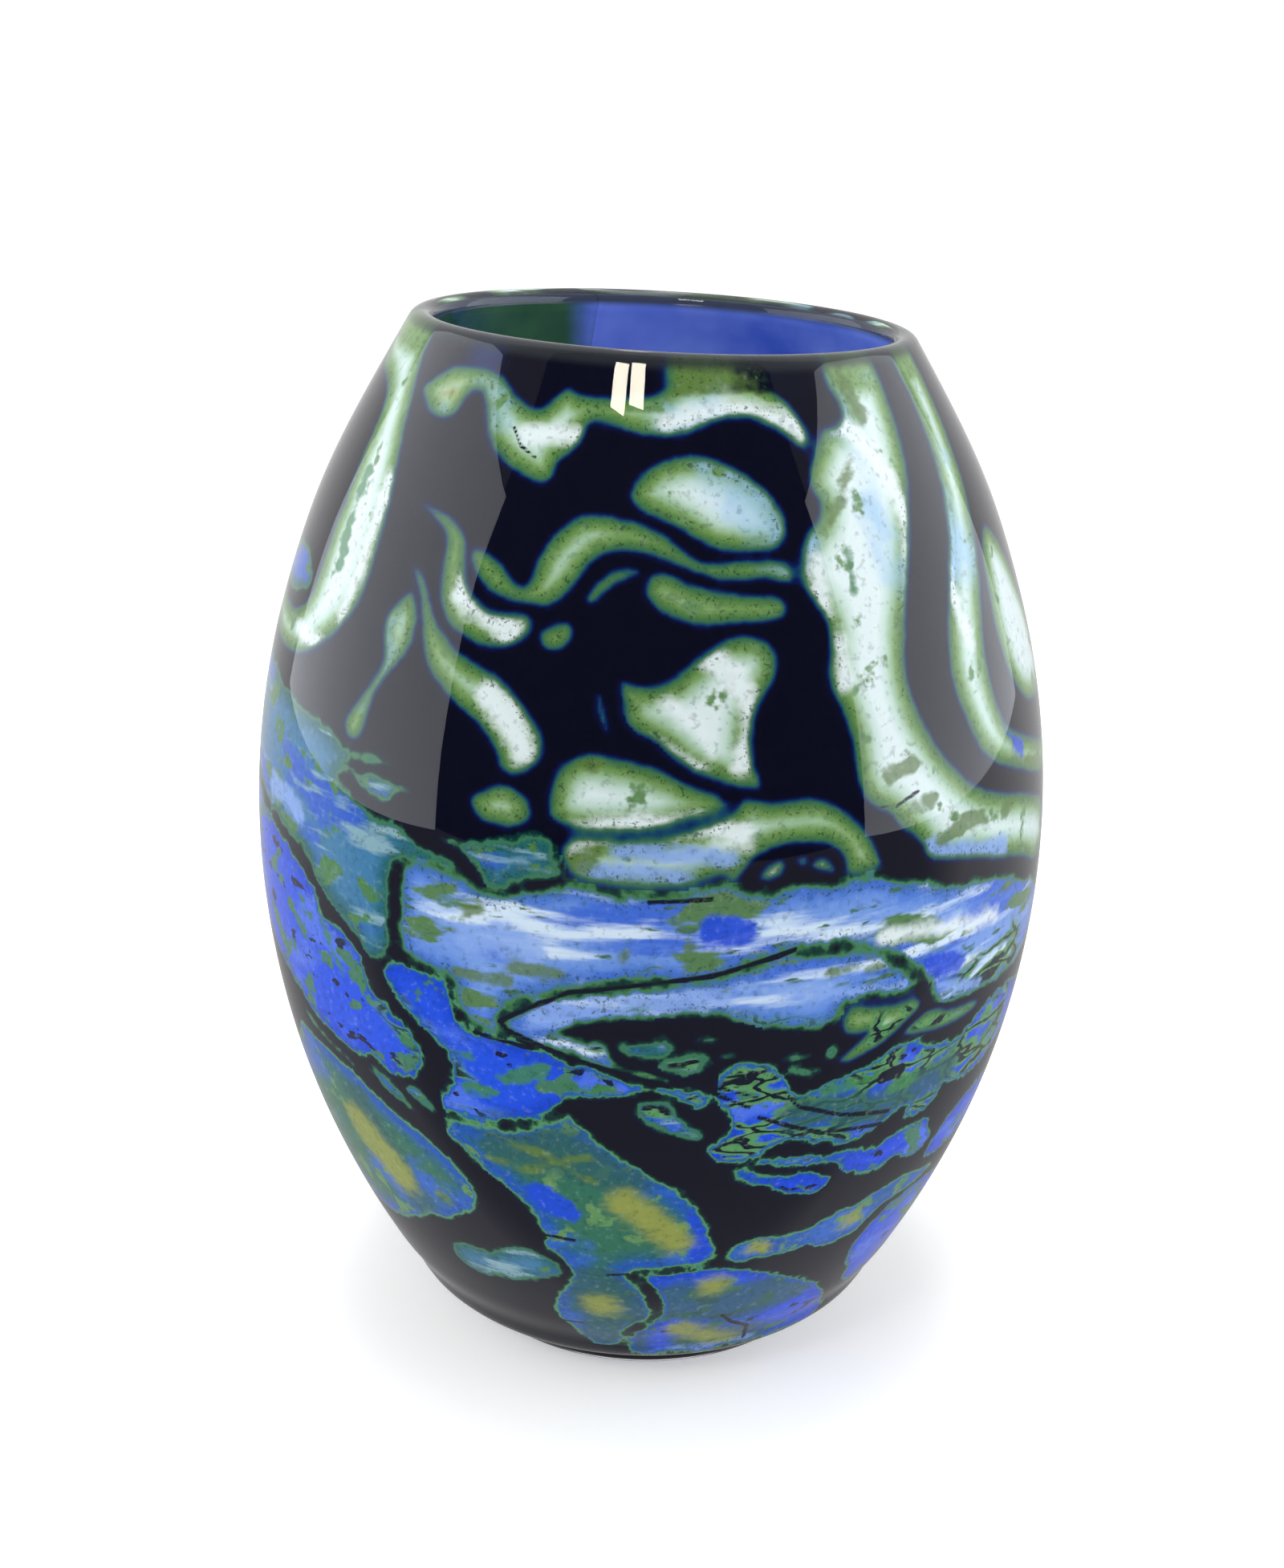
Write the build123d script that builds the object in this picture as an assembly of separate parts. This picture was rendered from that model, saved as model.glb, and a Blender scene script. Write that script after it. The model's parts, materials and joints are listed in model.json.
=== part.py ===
from build123d import *
from functools import cache
import math
import os

# A cased art glass vase, blown on a pipe. Millimetres, +Z up, origin at the centre of the flat base.
# The front is -Y. Azimuth is in degrees, 0 at the front and growing towards +X.

# Outer wall: (radius, height) from the heel up past the lip, which is cut off at a slant.
OUTER_WALL = [
    (56.8, 5), (65.7, 18), (77.1, 40), (88.2, 70), (95.3, 105), (96.5, 140),
    (91.6, 175), (82.3, 205), (70.9, 230), (56.9, 252), (49.3, 262),
]
FOOT_RADIUS = 49.0
LIP_HEIGHT = 251.5
LIP_SLOPE_X = -0.040
LIP_SLOPE_Y = -0.006
LIP_OUTER_ROUND = 3.0
LIP_INNER_ROUND = 2.4

# Layers, from the outside in.
CASE = 3.5
INLAY = 0.8
GROUND = 0.7
LINING = 1.3
WALL = CASE + INLAY + GROUND + LINING
LIP_ROLL = 4.5        # clear glass above the coloured layers, at the lip
BASE = 4.5            # clear glass under the coloured layers
BASE_BEND_RADIUS = 45.0
WALL_START = 0.06
WALL_SAMPLES = 14
LEVEL = 1.5            # how far an edge of the lip may be from its plane

# The lining is two colours that meet along two upright lines at these azimuths.
GREEN_FROM = -163.0
GREEN_TO = -20.0

# Inlays are pushed in from this distance off the axis outwards, so they stay in the wall.
INLAY_START = 15.0
OUTSIDE = 125.0
CURVE_STEPS = 2       # straight steps between two points of an outline

# The layers' upright seam is turned out of the way of these patches, in degrees.
SEAMS = {"inlay_belt": 270}
GROUND_SEAM = 270

# The back half is a turned, squeezed and twisted cousin of the front.
BACK_SQUEEZE = 0.93
BACK_TWIST = 9.0
BACK_WAVE = 5.0

# Outlines of the coloured patches on the front: closed smooth curves through (azimuth, height).
FRONT = {
    "ribbon_top": [
        [(-54.5, 240.3), (-51.5, 243), (-48, 245.2), (-43, 246.3), (-37, 246.2), (-33, 245.2),
         (-29, 242.6), (-25.5, 240.7), (-22.5, 240.3), (-20.3, 242.6), (-18, 244.3), (-15, 243.2),
         (-9, 243), (-3, 243.2), (0.5, 244), (3.5, 246.4), (7, 249), (11, 249.7), (15.5, 248.7),
         (20, 246.8), (24, 244.2), (27, 241.5), (28.8, 237.8), (29.2, 234.6), (27.6, 232.6),
         (25, 234.5), (22, 236.9), (18, 238.8), (14, 239), (10, 237.8), (6, 236.2), (2, 235.7),
         (-2, 236), (-6, 237), (-10, 238), (-12.4, 237.8), (-13.2, 235), (-15, 232.3),
         (-17, 230.6), (-17.6, 228), (-19.5, 226.4), (-22, 227), (-25, 228.3), (-28, 230),
         (-31, 232.3), (-33.4, 235.8), (-35.2, 239.6), (-37, 241.5), (-39.3, 241.4),
         (-40.6, 239.3), (-41.6, 236.8), (-44, 235.5), (-47.5, 235.6), (-50.5, 237), (-53, 238.8)],
    ],
    "oval_upper": [
        [(-4.4, 225.3), (-2.6, 229), (1, 231.8), (6, 232.8), (11, 231.7), (16, 228.8), (20, 224.3),
         (21.5, 220.5), (20.9, 216.8), (18.5, 214.9), (13, 214.6), (8.5, 215.9), (4, 218.9),
         (0, 221.3), (-3, 222.9)],
    ],
    "ribbon_wave": [
        [(-29, 212.9), (-25.5, 212.3), (-23, 210.4), (-21.3, 208.3), (-19.8, 207.5),
         (-18.7, 208.8), (-18.2, 212), (-16.8, 215.7), (-14.8, 218.8), (-12.5, 221), (-9.5, 221.8),
         (-5.5, 221.2), (-1, 219.7), (2, 218.2), (4.5, 215.8), (6.8, 213.8), (9.2, 212.9),
         (12.5, 213.3), (17, 213.3), (20.3, 212.6), (21.6, 210.6), (20.8, 208.6), (17, 209.6),
         (13, 209.6), (9, 210.2), (5.5, 211.4), (2, 213.3), (-2, 215), (-6, 215), (-8.7, 213.5),
         (-10.5, 210.8), (-12.2, 207.6), (-14.2, 205), (-16.4, 203.9), (-19.5, 204),
         (-23.5, 204.9), (-26.5, 207), (-28.6, 209.9)],
    ],
    "ribbon_wave_low": [
        [(-41.5, 219.4), (-36.5, 218.6), (-32.8, 217.3), (-30.8, 214.8), (-30, 211.5),
         (-29.2, 207.8), (-27.3, 204.4), (-24.5, 202.4), (-21.5, 202.2), (-18.5, 202.5),
         (-17.2, 201), (-17.6, 198.3), (-20, 195.8), (-24, 194.9), (-28, 196.3), (-31.2, 199),
         (-33.2, 203), (-34, 208), (-34.2, 212.5), (-35.3, 215.4), (-38, 217.6)],
    ],
    "drips_upper": [
        [(-16.2, 199.2), (-14.5, 200.4), (-12.3, 201.6), (-11.2, 199.9), (-11.8, 197.4),
         (-13.5, 195.8), (-15.8, 196.6)],
        [(-9.8, 205.6), (-9, 208.5), (-7, 210.9), (-4.5, 211.9), (-2.3, 211.3), (-4.8, 209.6),
         (-7.2, 207.3), (-8.9, 205.2)],
        [(-7, 189.8), (-6, 187.2), (-4.9, 184.3), (-4.9, 181.7), (-5.8, 181.2), (-6.8, 183.6),
         (-7.2, 186.5)],
    ],
    "bean_upper": [
        [(-1.3, 208.2), (-0.3, 210.8), (1.8, 211.2), (4.5, 209.9), (8, 208.4), (12, 207.3),
         (16, 206.9), (18.6, 206.3), (19.9, 204.6), (19.3, 202.5), (16.5, 201.6), (12, 201.4),
         (7.5, 201.2), (4, 202), (1, 204), (-0.7, 206.2)],
    ],
    "drip_left": [
        [(-38.4, 202.8), (-36.9, 200), (-36.1, 195.5), (-36.6, 191.5), (-38.1, 188.5), (-40, 185),
         (-41.6, 181.5), (-42.4, 177), (-43, 172.6), (-44.3, 170.5), (-46, 170.7), (-47, 173),
         (-46.3, 176), (-44.8, 178.7), (-43.3, 182), (-42, 185.5), (-41.4, 189), (-42.2, 193),
         (-42.5, 196.8), (-41.3, 199.6), (-39.9, 201.6)],
    ],
    "drip_centre": [
        [(-39.4, 207.6), (-37, 206.2), (-35.3, 203.3), (-33.8, 199.9), (-32, 197.1),
         (-29.8, 194.9), (-27, 192.8), (-24, 191.2), (-21, 189.7), (-18.5, 186.8), (-16, 183),
         (-14.4, 179.5), (-14, 176.3), (-15, 173.3), (-16.8, 171.3), (-18.8, 170.9),
         (-20.2, 172.7), (-21, 175.6), (-23, 179), (-26, 182), (-29.5, 185), (-32.4, 188),
         (-34.2, 191.5), (-35.1, 195.5), (-35.9, 199.7), (-37.3, 203.6)],
    ],
    "dot_left": [
        [(-24, 164.6), (-22.5, 167), (-20, 169), (-17.8, 168.3), (-15.8, 166), (-15.3, 163.5),
         (-16.8, 161), (-20, 160.3), (-22.8, 161.5)],
    ],
    "butterfly": [
        [(13, 199.6), (16, 198.4), (17.5, 195.5), (17.3, 192), (15.8, 188), (14.2, 184.5),
         (13.5, 180), (13.7, 175.5), (14.4, 171.5), (14.4, 169.6), (12.2, 169.9), (8.5, 171.5),
         (5.3, 173.3), (3, 176), (0.8, 179), (-1.8, 181), (-3.4, 183.2), (-3.9, 187), (-4.3, 191),
         (-2.5, 190.3), (0.5, 190.5), (3.2, 192.3), (5.8, 195.3), (8.5, 197.8), (11, 199.3)],
    ],
    "ribbon_left": [
        [(-64, 258), (-60, 247.5), (-56.5, 240), (-53.6, 233), (-50.9, 226), (-48.8, 218),
         (-48, 209), (-48.4, 201), (-50, 195), (-53, 190), (-57, 185.6), (-62, 181.9),
         (-68, 180.2), (-76, 180.6), (-83, 183.2), (-87, 188), (-84, 190.3), (-76, 189.2),
         (-70, 189.8), (-66, 191.9), (-63.8, 196.5), (-63.2, 207), (-63.6, 220), (-64.5, 229),
         (-67, 236), (-73, 239), (-80, 240), (-86, 244), (-84, 258)],
    ],
    "tongue_left_edge": [
        [(-65, 196.5), (-67.2, 199.5), (-71, 201.6), (-76, 202.6), (-82, 201), (-86, 197.3),
         (-83, 193.3), (-77, 191.8), (-71, 192.3), (-67, 193.8)],
    ],
    "ribbon_right_inner": [
        [(30.2, 258), (31.5, 248.4), (34, 245.9), (36.3, 243.2), (37.4, 240.4), (37, 237.8),
         (35, 236.7), (32.5, 236.1), (30.4, 234.2), (28.3, 231.3), (26.7, 228.3), (26.4, 225),
         (27.6, 222.7), (27, 220.2), (25, 218.5), (23.4, 216), (22.5, 212.6), (22.2, 208),
         (23.8, 204), (25.2, 200.8), (25.4, 197), (24.8, 190.8), (25.2, 187), (26.3, 183.5),
         (27.3, 178), (27.9, 170.5), (28.6, 165.6), (30.4, 162.4), (33, 160.2), (34.4, 157),
         (36.6, 154.6), (38.3, 152), (39.2, 149.2), (42, 147), (46, 145.6), (50, 143.9),
         (54, 141.6), (59, 139.3), (65, 136), (71, 131.5), (76, 133), (77, 140), (74, 146),
         (68, 150), (62, 153.4), (58, 155.4), (54, 157.5), (50, 160.5), (46, 165.5), (43.4, 169.7),
         (40.2, 177), (38.7, 183), (38.3, 189), (38.9, 194.5), (41, 203), (44, 211.5), (48.3, 223),
         (50.6, 230.5), (51.9, 238), (52.5, 246), (52.8, 258)],
    ],
    "ribbon_right_outer": [
        [(60.6, 258), (60.2, 246), (60, 236), (59, 228), (57.3, 221), (55, 214.5), (52.3, 207.5),
         (49.8, 200.5), (47.9, 193.5), (47, 187), (47.6, 180), (49.2, 174), (51.5, 168),
         (55, 163.3), (60, 159.8), (66, 156), (73, 152), (79, 151.5), (79.5, 156.5), (74, 159.8),
         (68, 163.5), (63, 167.3), (59.9, 170), (58.2, 174), (57.1, 179), (56.6, 184.5),
         (57.2, 190.5), (59.2, 197.5), (62, 206), (65, 215), (68, 225), (70.5, 236), (72, 247),
         (72.5, 258)],
    ],
    "ribbon_right_edge": [
        [(65, 208), (62.8, 201.5), (61.8, 194), (62, 186.5), (63.6, 179.5), (66.6, 173.8),
         (71.5, 169.8), (78, 168.8), (83, 172.5), (82, 184), (78, 196), (73.5, 206), (69, 210.5)],
    ],
    "band_upper": [
        [(-13, 164), (-12.9, 169.5), (-12.2, 173), (-10.5, 175.4), (-8, 176.7), (-5, 176.3),
         (-1, 175.1), (2, 173.4), (5, 171.2), (8.5, 169), (9.8, 166.8), (8.2, 165), (5, 163.6),
         (1.5, 161.9), (-2, 161.1), (-6, 161), (-10, 161.2)],
    ],
    "band_nose": [
        [(-11.4, 157.5), (-9.5, 160), (-5, 160.3), (0, 160.5), (4, 162), (7.5, 163.6),
         (10.6, 165.6), (11.8, 167.8), (16, 167.1), (20.5, 166.9), (24, 165.5), (27, 162),
         (29.4, 158.3), (30.9, 153.5), (31.4, 150.2), (28.5, 149.2), (26.2, 149.8), (25.8, 153),
         (24.4, 156), (21.5, 157.5), (17, 157.6), (13.8, 156), (12, 153.3), (10.7, 150.8),
         (9.3, 152.4), (7, 151), (3.5, 149.9), (-1, 149.6), (-6, 150.2), (-9.8, 151.8)],
    ],
    "leaf_left": [
        [(-28.6, 156.2), (-26, 156), (-23, 156.1), (-20.5, 157.6), (-17.5, 158.6), (-14.5, 159.6),
         (-12.6, 158.4), (-12.1, 155.5), (-11, 152.3), (-12.7, 150.5), (-16, 149.3),
         (-18.5, 147.4), (-20, 146.8), (-21.6, 148.7), (-23, 151.7), (-25.6, 154.3)],
    ],
    "eye_slivers": [
        [(14, 151.5), (15, 154), (16.8, 155), (17.5, 153.2), (16.7, 151.3), (15.1, 150.5)],
        [(20.9, 152.9), (22.4, 154.2), (23.9, 152.7), (24.2, 150.8), (22.4, 151.3)],
        [(18.9, 154.5), (20.3, 155), (20.5, 153.5), (19.5, 153)],
    ],
    "belt": [
        [(-33.8, 148), (-30, 149.3), (-26.5, 148.8), (-24, 147.2), (-21.3, 145.6), (-18, 146.2),
         (-14, 148.4), (-10.5, 150), (-7, 149), (-3, 148.2), (1, 148.3), (5, 148.6), (8.5, 150.3),
         (10.6, 149.3), (14, 148.6), (18, 148.8), (22, 148.6), (26.5, 148.4), (30.5, 148.7),
         (33.5, 146.8), (37, 144.8), (42, 142.6), (46, 140.4), (50, 139.6), (54, 138.2),
         (59, 135.3), (65, 131.5), (72, 127), (77, 121), (76, 113), (70, 109), (63, 108.5),
         (57, 109.7), (52, 110.6), (47, 111), (43, 113), (41, 116.5), (40.6, 119.8), (38, 123.6),
         (34.5, 128.6), (30.4, 132.3), (24, 134.5), (18, 135.2), (12, 132.3), (6, 130.3),
         (0, 129.3), (-5, 128.3), (-10.3, 126.7), (-14.5, 124), (-18, 120.7), (-19.8, 117),
         (-19.2, 114.4), (-21.5, 113.7), (-24.3, 116.2), (-25.3, 120), (-26.2, 124.8),
         (-30, 125.9), (-34.3, 128), (-34.6, 138)],
    ],
    "feather_left": [
        [(-84, 176.5), (-76, 175.8), (-70, 174.4), (-64, 173.1), (-58, 172.2), (-53, 171.6),
         (-49.6, 170.2), (-47, 168.2), (-43, 168.7), (-40, 169.4), (-37.8, 169), (-36, 168),
         (-38.5, 167), (-43, 166), (-46.8, 165), (-43, 164.9), (-39, 165.4), (-36, 164.9),
         (-32.6, 163.7), (-35.6, 162.6), (-36.6, 160.5), (-39.5, 159.9), (-42.5, 161.2),
         (-44.6, 163.4), (-47.5, 162.3), (-45, 160), (-41.5, 158.2), (-38, 156.6), (-34.5, 155.3),
         (-33.6, 153.9), (-30, 152), (-27.4, 151.8), (-25, 149.8), (-29, 150.2), (-33, 149.6),
         (-35, 147.5), (-35.7, 138), (-35.8, 128), (-37.4, 124.8), (-39.6, 123.6), (-41.3, 126.2),
         (-44, 129.5), (-47.5, 132.6), (-50, 135.3), (-52.5, 138.6), (-55.5, 141.2), (-60, 142.7),
         (-66, 144.2), (-72, 146), (-79, 149), (-85, 154), (-87, 165)],
    ],
    "cobalt_left": [
        [(-78, 144.5), (-70, 143), (-63, 141.3), (-58, 139.2), (-54, 136.3), (-51.6, 133),
         (-50, 130), (-48.4, 127.9), (-45, 126.2), (-42.6, 124), (-41, 120.5), (-39.6, 116.8),
         (-37, 112.7), (-34, 110), (-32.3, 107), (-31.5, 103), (-32.2, 99), (-33.8, 96),
         (-36.5, 95), (-39.5, 95.4), (-42, 97.3), (-44.5, 95), (-48, 95.8), (-52, 97.8),
         (-56, 99.5), (-60, 102.4), (-65, 105.5), (-71, 109), (-78, 113), (-84, 122), (-85, 136)],
    ],
    "cobalt_centre": [
        [(-37.6, 122), (-35, 125.4), (-31, 124.3), (-27.3, 123.6), (-26.4, 119.5), (-25.4, 115.6),
         (-22.8, 112.7), (-19.3, 112.9), (-15, 111.6), (-11, 109.9), (-7, 108.1), (-3, 106.3),
         (1, 104.6), (5, 103.4), (8.5, 101.6), (8.6, 98.8), (6.8, 97.8), (5.2, 99.7), (3, 102.2),
         (0, 102.6), (-2.4, 101.3), (-6, 100.6), (-9.2, 99.7), (-11.4, 97.2), (-13.5, 94.6),
         (-16.5, 92.2), (-20.5, 90.4), (-25, 89.6), (-28.8, 90), (-29.6, 93), (-28.2, 97),
         (-27.2, 101), (-28, 105), (-30.2, 109.5), (-33.2, 112.8), (-35.6, 116.6)],
    ],
    "swoosh": [
        [(-18.8, 117), (-17.1, 120), (-14, 123), (-10, 125.6), (-5, 127.2), (0, 128.1), (6, 129.1),
         (12, 131.1), (18, 133.9), (24, 133.3), (30, 131), (33.8, 127.4), (37.2, 122.5),
         (38.8, 119.7), (36, 118.9), (32.6, 119.7), (29, 120.6), (26.2, 119.8), (25.3, 116.8),
         (23, 114.7), (19.5, 115.6), (15.5, 117.4), (12, 119.5), (8, 120.9), (3, 121.2),
         (-2, 120.8), (-6, 119.7), (-9.5, 118), (-10.9, 116.3), (-8.2, 115.2), (-5.4, 114.6),
         (-4.9, 112), (-3.3, 109.6), (-0.2, 107.4), (2.8, 105.4), (-0.6, 106.4), (-4, 108),
         (-8, 109.8), (-12, 111.6), (-16, 113.5), (-18.2, 115.1)],
    ],
    "flame_right": [
        [(27.4, 119), (31.3, 118.2), (34.8, 117), (38, 117.2), (39.4, 115.6), (39.4, 113.6),
         (37.6, 111.6), (34.3, 108.4), (31, 106.1), (27.8, 104.7), (26.5, 106), (28, 108.6),
         (30.6, 111.5), (28.8, 111.6), (26.9, 112.9), (26.3, 115.6)],
    ],
    "islands_pond": [
        [(-3.9, 113), (-3.2, 115.2), (0, 115.8), (2.5, 115.9), (3.7, 114.4), (3, 112.3),
         (0.6, 110.9), (-2.3, 110.9)],
        [(1.6, 109.7), (3.8, 112.1), (6, 113.1), (8, 112), (8.5, 110.2), (7, 107.8), (4.5, 107.1),
         (2.3, 108)],
        [(9.5, 111.3), (10.8, 112.3), (12, 111.2), (10.8, 110.6)],
        [(6.5, 115.1), (7.6, 116.3), (9.6, 115.8), (8.4, 114.7)],
        [(23.8, 109), (24.8, 110.3), (26.1, 109.4), (25.9, 107.6), (25, 106.9), (24, 107.6)],
        [(18.7, 106.3), (19.9, 107.2), (21.4, 106.1), (22.9, 106), (23.9, 104.9), (23.6, 103.4),
         (22, 102.8), (20.4, 103.9)],
        [(18, 108.8), (20, 109.6), (22.2, 108.9), (20.4, 108.1)],
    ],
    "lens_right": [
        [(36.8, 108.4), (38.6, 110.6), (41, 112.2), (45, 110.3), (49, 109.2), (52.6, 108),
         (53.4, 106.6), (51, 105.2), (46, 105), (41.5, 106.2), (38.4, 107.1)],
    ],
    "cobalt_right": [
        [(9.6, 106.8), (11, 109.2), (13.5, 109.4), (16.2, 108), (17.9, 105), (19.2, 102.2),
         (20.6, 99.7), (23, 99.9), (26, 101.4), (29, 103), (31.8, 103.2), (34.8, 105.2),
         (38.6, 105.5), (42, 103.6), (45.4, 101.2), (50, 101), (55, 103.8), (61, 105.2), (68, 104),
         (74, 98), (71, 90), (64, 85.5), (57, 84.8), (52, 86.2), (48.8, 87.2), (47.5, 84.2),
         (45, 82), (42.4, 82.2), (40.4, 84), (40.8, 87), (38.6, 86.6), (36.4, 84.6), (33.8, 82.2),
         (30, 81.8), (26, 83.2), (22, 85), (18.6, 86), (16.4, 83.6), (13.5, 82), (10.6, 82.6),
         (8.6, 85.2), (9, 88.4), (11.4, 90.8), (11.2, 94.6), (9.8, 98.6), (9.4, 102.6)],
    ],
    "crescent_centre": [
        [(-1.3, 98.5), (-0.4, 100.3), (1.8, 101), (3.6, 99.7), (4.3, 97.2), (5.9, 94.4),
         (7.7, 91.6), (7.9, 89.9), (6, 89.4), (3, 91.1), (0.8, 93.4), (-0.8, 95.9)],
    ],
    "ribbons_low": [
        [(17.4, 83), (21, 82.4), (25, 81), (29, 79.7), (33, 79.2), (38, 79.1), (42, 80.2),
         (46, 80.5), (49.2, 78.8), (48.6, 76.6), (49.6, 73.5), (50, 71), (47, 68.4), (43.5, 69.3),
         (41.7, 71.6), (40, 69.5), (37, 68.4), (33.5, 70.2), (31, 73.2), (29.4, 76), (26, 77.6),
         (21, 78.9), (17.6, 80.2), (15.6, 81.6)],
        [(12, 80), (13, 77.3), (15.5, 75), (18.5, 73.6), (20.5, 71.3), (23, 69.2), (26, 68.6),
         (28, 70.2), (28.2, 72.8), (26.3, 75), (23, 76), (19, 77.3), (16, 79), (14, 80.8)],
    ],
    "tongue_centre": [
        [(-29.4, 86), (-28.4, 88), (-24.5, 88.3), (-20, 89), (-16, 90.8), (-12.8, 93.2),
         (-10.4, 96), (-9, 93.5), (-7, 90), (-5, 87), (-3, 83.6), (0, 80.6), (3, 77.6), (6, 74),
         (8.5, 70), (10.4, 64), (11.4, 57), (11.8, 51.6), (8, 49.3), (3, 48.6), (-0.6, 48.4),
         (-2.6, 46.4), (-0.4, 41.2), (1.1, 37), (1.8, 33), (1.3, 29.6), (-0.8, 26.8), (-3.2, 23.6),
         (-4, 21), (-3.8, 18), (-4.8, 15.4), (-7, 13.8), (-10.5, 14.2), (-12.6, 16), (-14, 19),
         (-14.6, 22), (-16.6, 25), (-17.2, 29), (-16.8, 33), (-16, 37), (-14.4, 40.6),
         (-12.6, 43.6), (-12.2, 46.6), (-13.4, 49.8), (-15.4, 52), (-16.8, 54), (-15.8, 57),
         (-16.4, 60), (-17, 63), (-18.2, 66.2), (-20, 70), (-22, 73), (-25, 76), (-27, 78.7),
         (-29, 82)],
    ],
    "tongue_left": [
        [(-62, 92), (-55, 91.6), (-50, 90.4), (-45, 88.3), (-41, 85.4), (-37, 82.4), (-33, 79.4),
         (-30, 76), (-27.5, 72), (-26.2, 68), (-26.6, 64), (-28.5, 60), (-31, 56.6), (-34, 54.1),
         (-38, 51.7), (-43, 48.2), (-48, 44.6), (-54, 42), (-62, 42.5), (-68, 50), (-71, 62),
         (-71, 76), (-68, 86)],
    ],
    "cells_left": [
        [(-43.2, 92.8), (-41.6, 95), (-39.4, 93.4), (-37.4, 91), (-35.2, 87.8), (-34.6, 86.2),
         (-37.2, 87.6), (-40.4, 90)],
        [(-35.8, 92.4), (-34.4, 94), (-32.4, 93.2), (-31, 90.4), (-31.2, 88.2), (-33.2, 88.8),
         (-35, 90.4)],
        [(-60, 98.6), (-56, 96.6), (-50.6, 94), (-46.4, 91.6), (-48, 91.8), (-53, 93.6), (-58, 95.6)],
    ],
    "leaf_low_left": [
        [(-36.8, 41), (-35.6, 44.4), (-32.5, 46.4), (-28, 47.2), (-25, 49.4), (-21.5, 51.4),
         (-18.3, 51.5), (-15.4, 49.6), (-13.8, 46.4), (-14.6, 43.4), (-16.8, 41), (-19.6, 39.4),
         (-23.5, 38), (-27.5, 36.6), (-31.5, 36), (-35, 37.4)],
    ],
    "mass_low_right": [
        [(-0.6, 46), (2, 47.4), (6, 48), (10, 48.6), (12.8, 48.6), (16, 46.8), (20, 45.2),
         (23, 43.4), (26.5, 40.6), (30, 37.4), (34, 34.2), (37, 31.6), (39, 28.5), (41, 25),
         (43.6, 20.6), (46.5, 16), (45.5, 11.4), (38, 8.6), (25, 7.8), (10, 7.8), (1, 8.4),
         (-2.6, 11), (-2.6, 17), (-2.6, 20), (-1.8, 23.4), (1, 26), (3.2, 29.4), (4, 33),
         (3.2, 37), (1.4, 41)],
    ],
    "leaf_low_right": [
        [(13.6, 52), (14.4, 54.8), (17, 56.7), (21, 56.7), (25, 56.2), (28.5, 57.2), (32, 59.5),
         (36, 60.5), (40, 61.2), (45, 61.8), (51, 61), (56, 59.4), (58, 57.4), (55, 56.2),
         (50, 55.8), (45.5, 55), (42.6, 53.2), (41, 50.4), (38.6, 48), (35.4, 47.3), (32, 48),
         (29.6, 49.7), (28, 50.6), (25.4, 49.3), (21, 48.7), (16.6, 48.9), (14.2, 50)],
    ],
    "leaf_far_right": [
        [(41.4, 45), (42.8, 49.6), (46, 52.8), (51, 54), (57, 54.4), (63, 52), (66, 45), (64, 36),
         (59, 28), (52, 24), (47, 24.6), (43.6, 30), (41.6, 36), (40.8, 41)],
    ],
    "leaf_mid_right": [
        [(50.4, 65.2), (51.2, 68.8), (54, 73.6), (57.5, 76.8), (63, 79), (69, 76.6), (72, 69),
         (68, 63.6), (59, 62.6), (53, 62.8)],
    ],
}

# The front patches that have a cousin on the back.
BACK_NAMES = [
    "ribbon_top", "oval_upper", "ribbon_wave", "ribbon_wave_low", "butterfly", "ribbon_left",
    "ribbon_right_inner", "ribbon_right_outer", "band_nose", "belt", "feather_left",
    "cobalt_left", "cobalt_centre", "cobalt_right", "tongue_centre", "tongue_left",
]


def upright(points):
    """The (radius, height) points as points in the XZ plane."""
    return [(radius, 0, height) for radius, height in points]


WALL_CURVE = Spline(*upright(OUTER_WALL))


def wall_point(fraction, depth):
    """The (radius, height) at a fraction of the wall's length and a depth in the glass."""
    at = WALL_CURVE.position_at(fraction)
    along = WALL_CURVE.tangent_at(fraction)
    return (at.X - depth * along.Z, at.Z + depth * along.X)


def revolved(edges):
    """The solid that a closed profile in the XZ plane sweeps about the vase's axis."""
    return revolve(Face(Wire(edges)), axis=Axis.Z, revolution_arc=360)


def outer_solid():
    """The vase as if it were solid glass, with its heel rounded into a flat foot."""
    start = WALL_CURVE @ 0
    end = WALL_CURVE @ 1
    foot = (FOOT_RADIUS, 0, 0)
    heel = Spline(foot, start, tangents=[(1, 0, 0), WALL_CURVE % 0])
    base = Line((0, 0, 0), foot)
    top = Line(end, (0, 0, end.Z))
    middle = Line((0, 0, end.Z), (0, 0, 0))
    return revolved([base, heel, WALL_CURVE, top, middle])


def bowl(depth):
    """The floor line, the bend and the side curve of a surface at a depth in the glass."""
    step = (1 - WALL_START) / (WALL_SAMPLES - 1)
    points = [wall_point(WALL_START + i * step, depth) for i in range(WALL_SAMPLES)]
    side = Spline(*upright(points))
    floor = BASE + depth - CASE
    corner = (BASE_BEND_RADIUS + CASE - depth, 0, floor)
    bend = Spline(corner, side @ 0, tangents=[(1, 0, 0), side % 0])
    return [Line((0, 0, floor), corner), bend, side]


def plug(depth):
    """All that lies deeper in the glass than a depth, filled in to the axis."""
    edges = bowl(depth)
    end = edges[-1] @ 1
    top = Line(end, (0, 0, end.Z))
    middle = Line((0, 0, end.Z), edges[0] @ 0)
    return revolved(edges + [top, middle])


def above_lip(drop):
    """A block above the slanted plane that lies a drop below the lip."""
    along = (1, 0, LIP_SLOPE_X)
    normal = (-LIP_SLOPE_X, -LIP_SLOPE_Y, 1)
    plane = Plane(origin=(0, 0, LIP_HEIGHT - drop), x_dir=along, z_dir=normal)
    return plane * Box(300, 300, 60, align=(Align.CENTER, Align.CENTER, Align.MIN))


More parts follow.
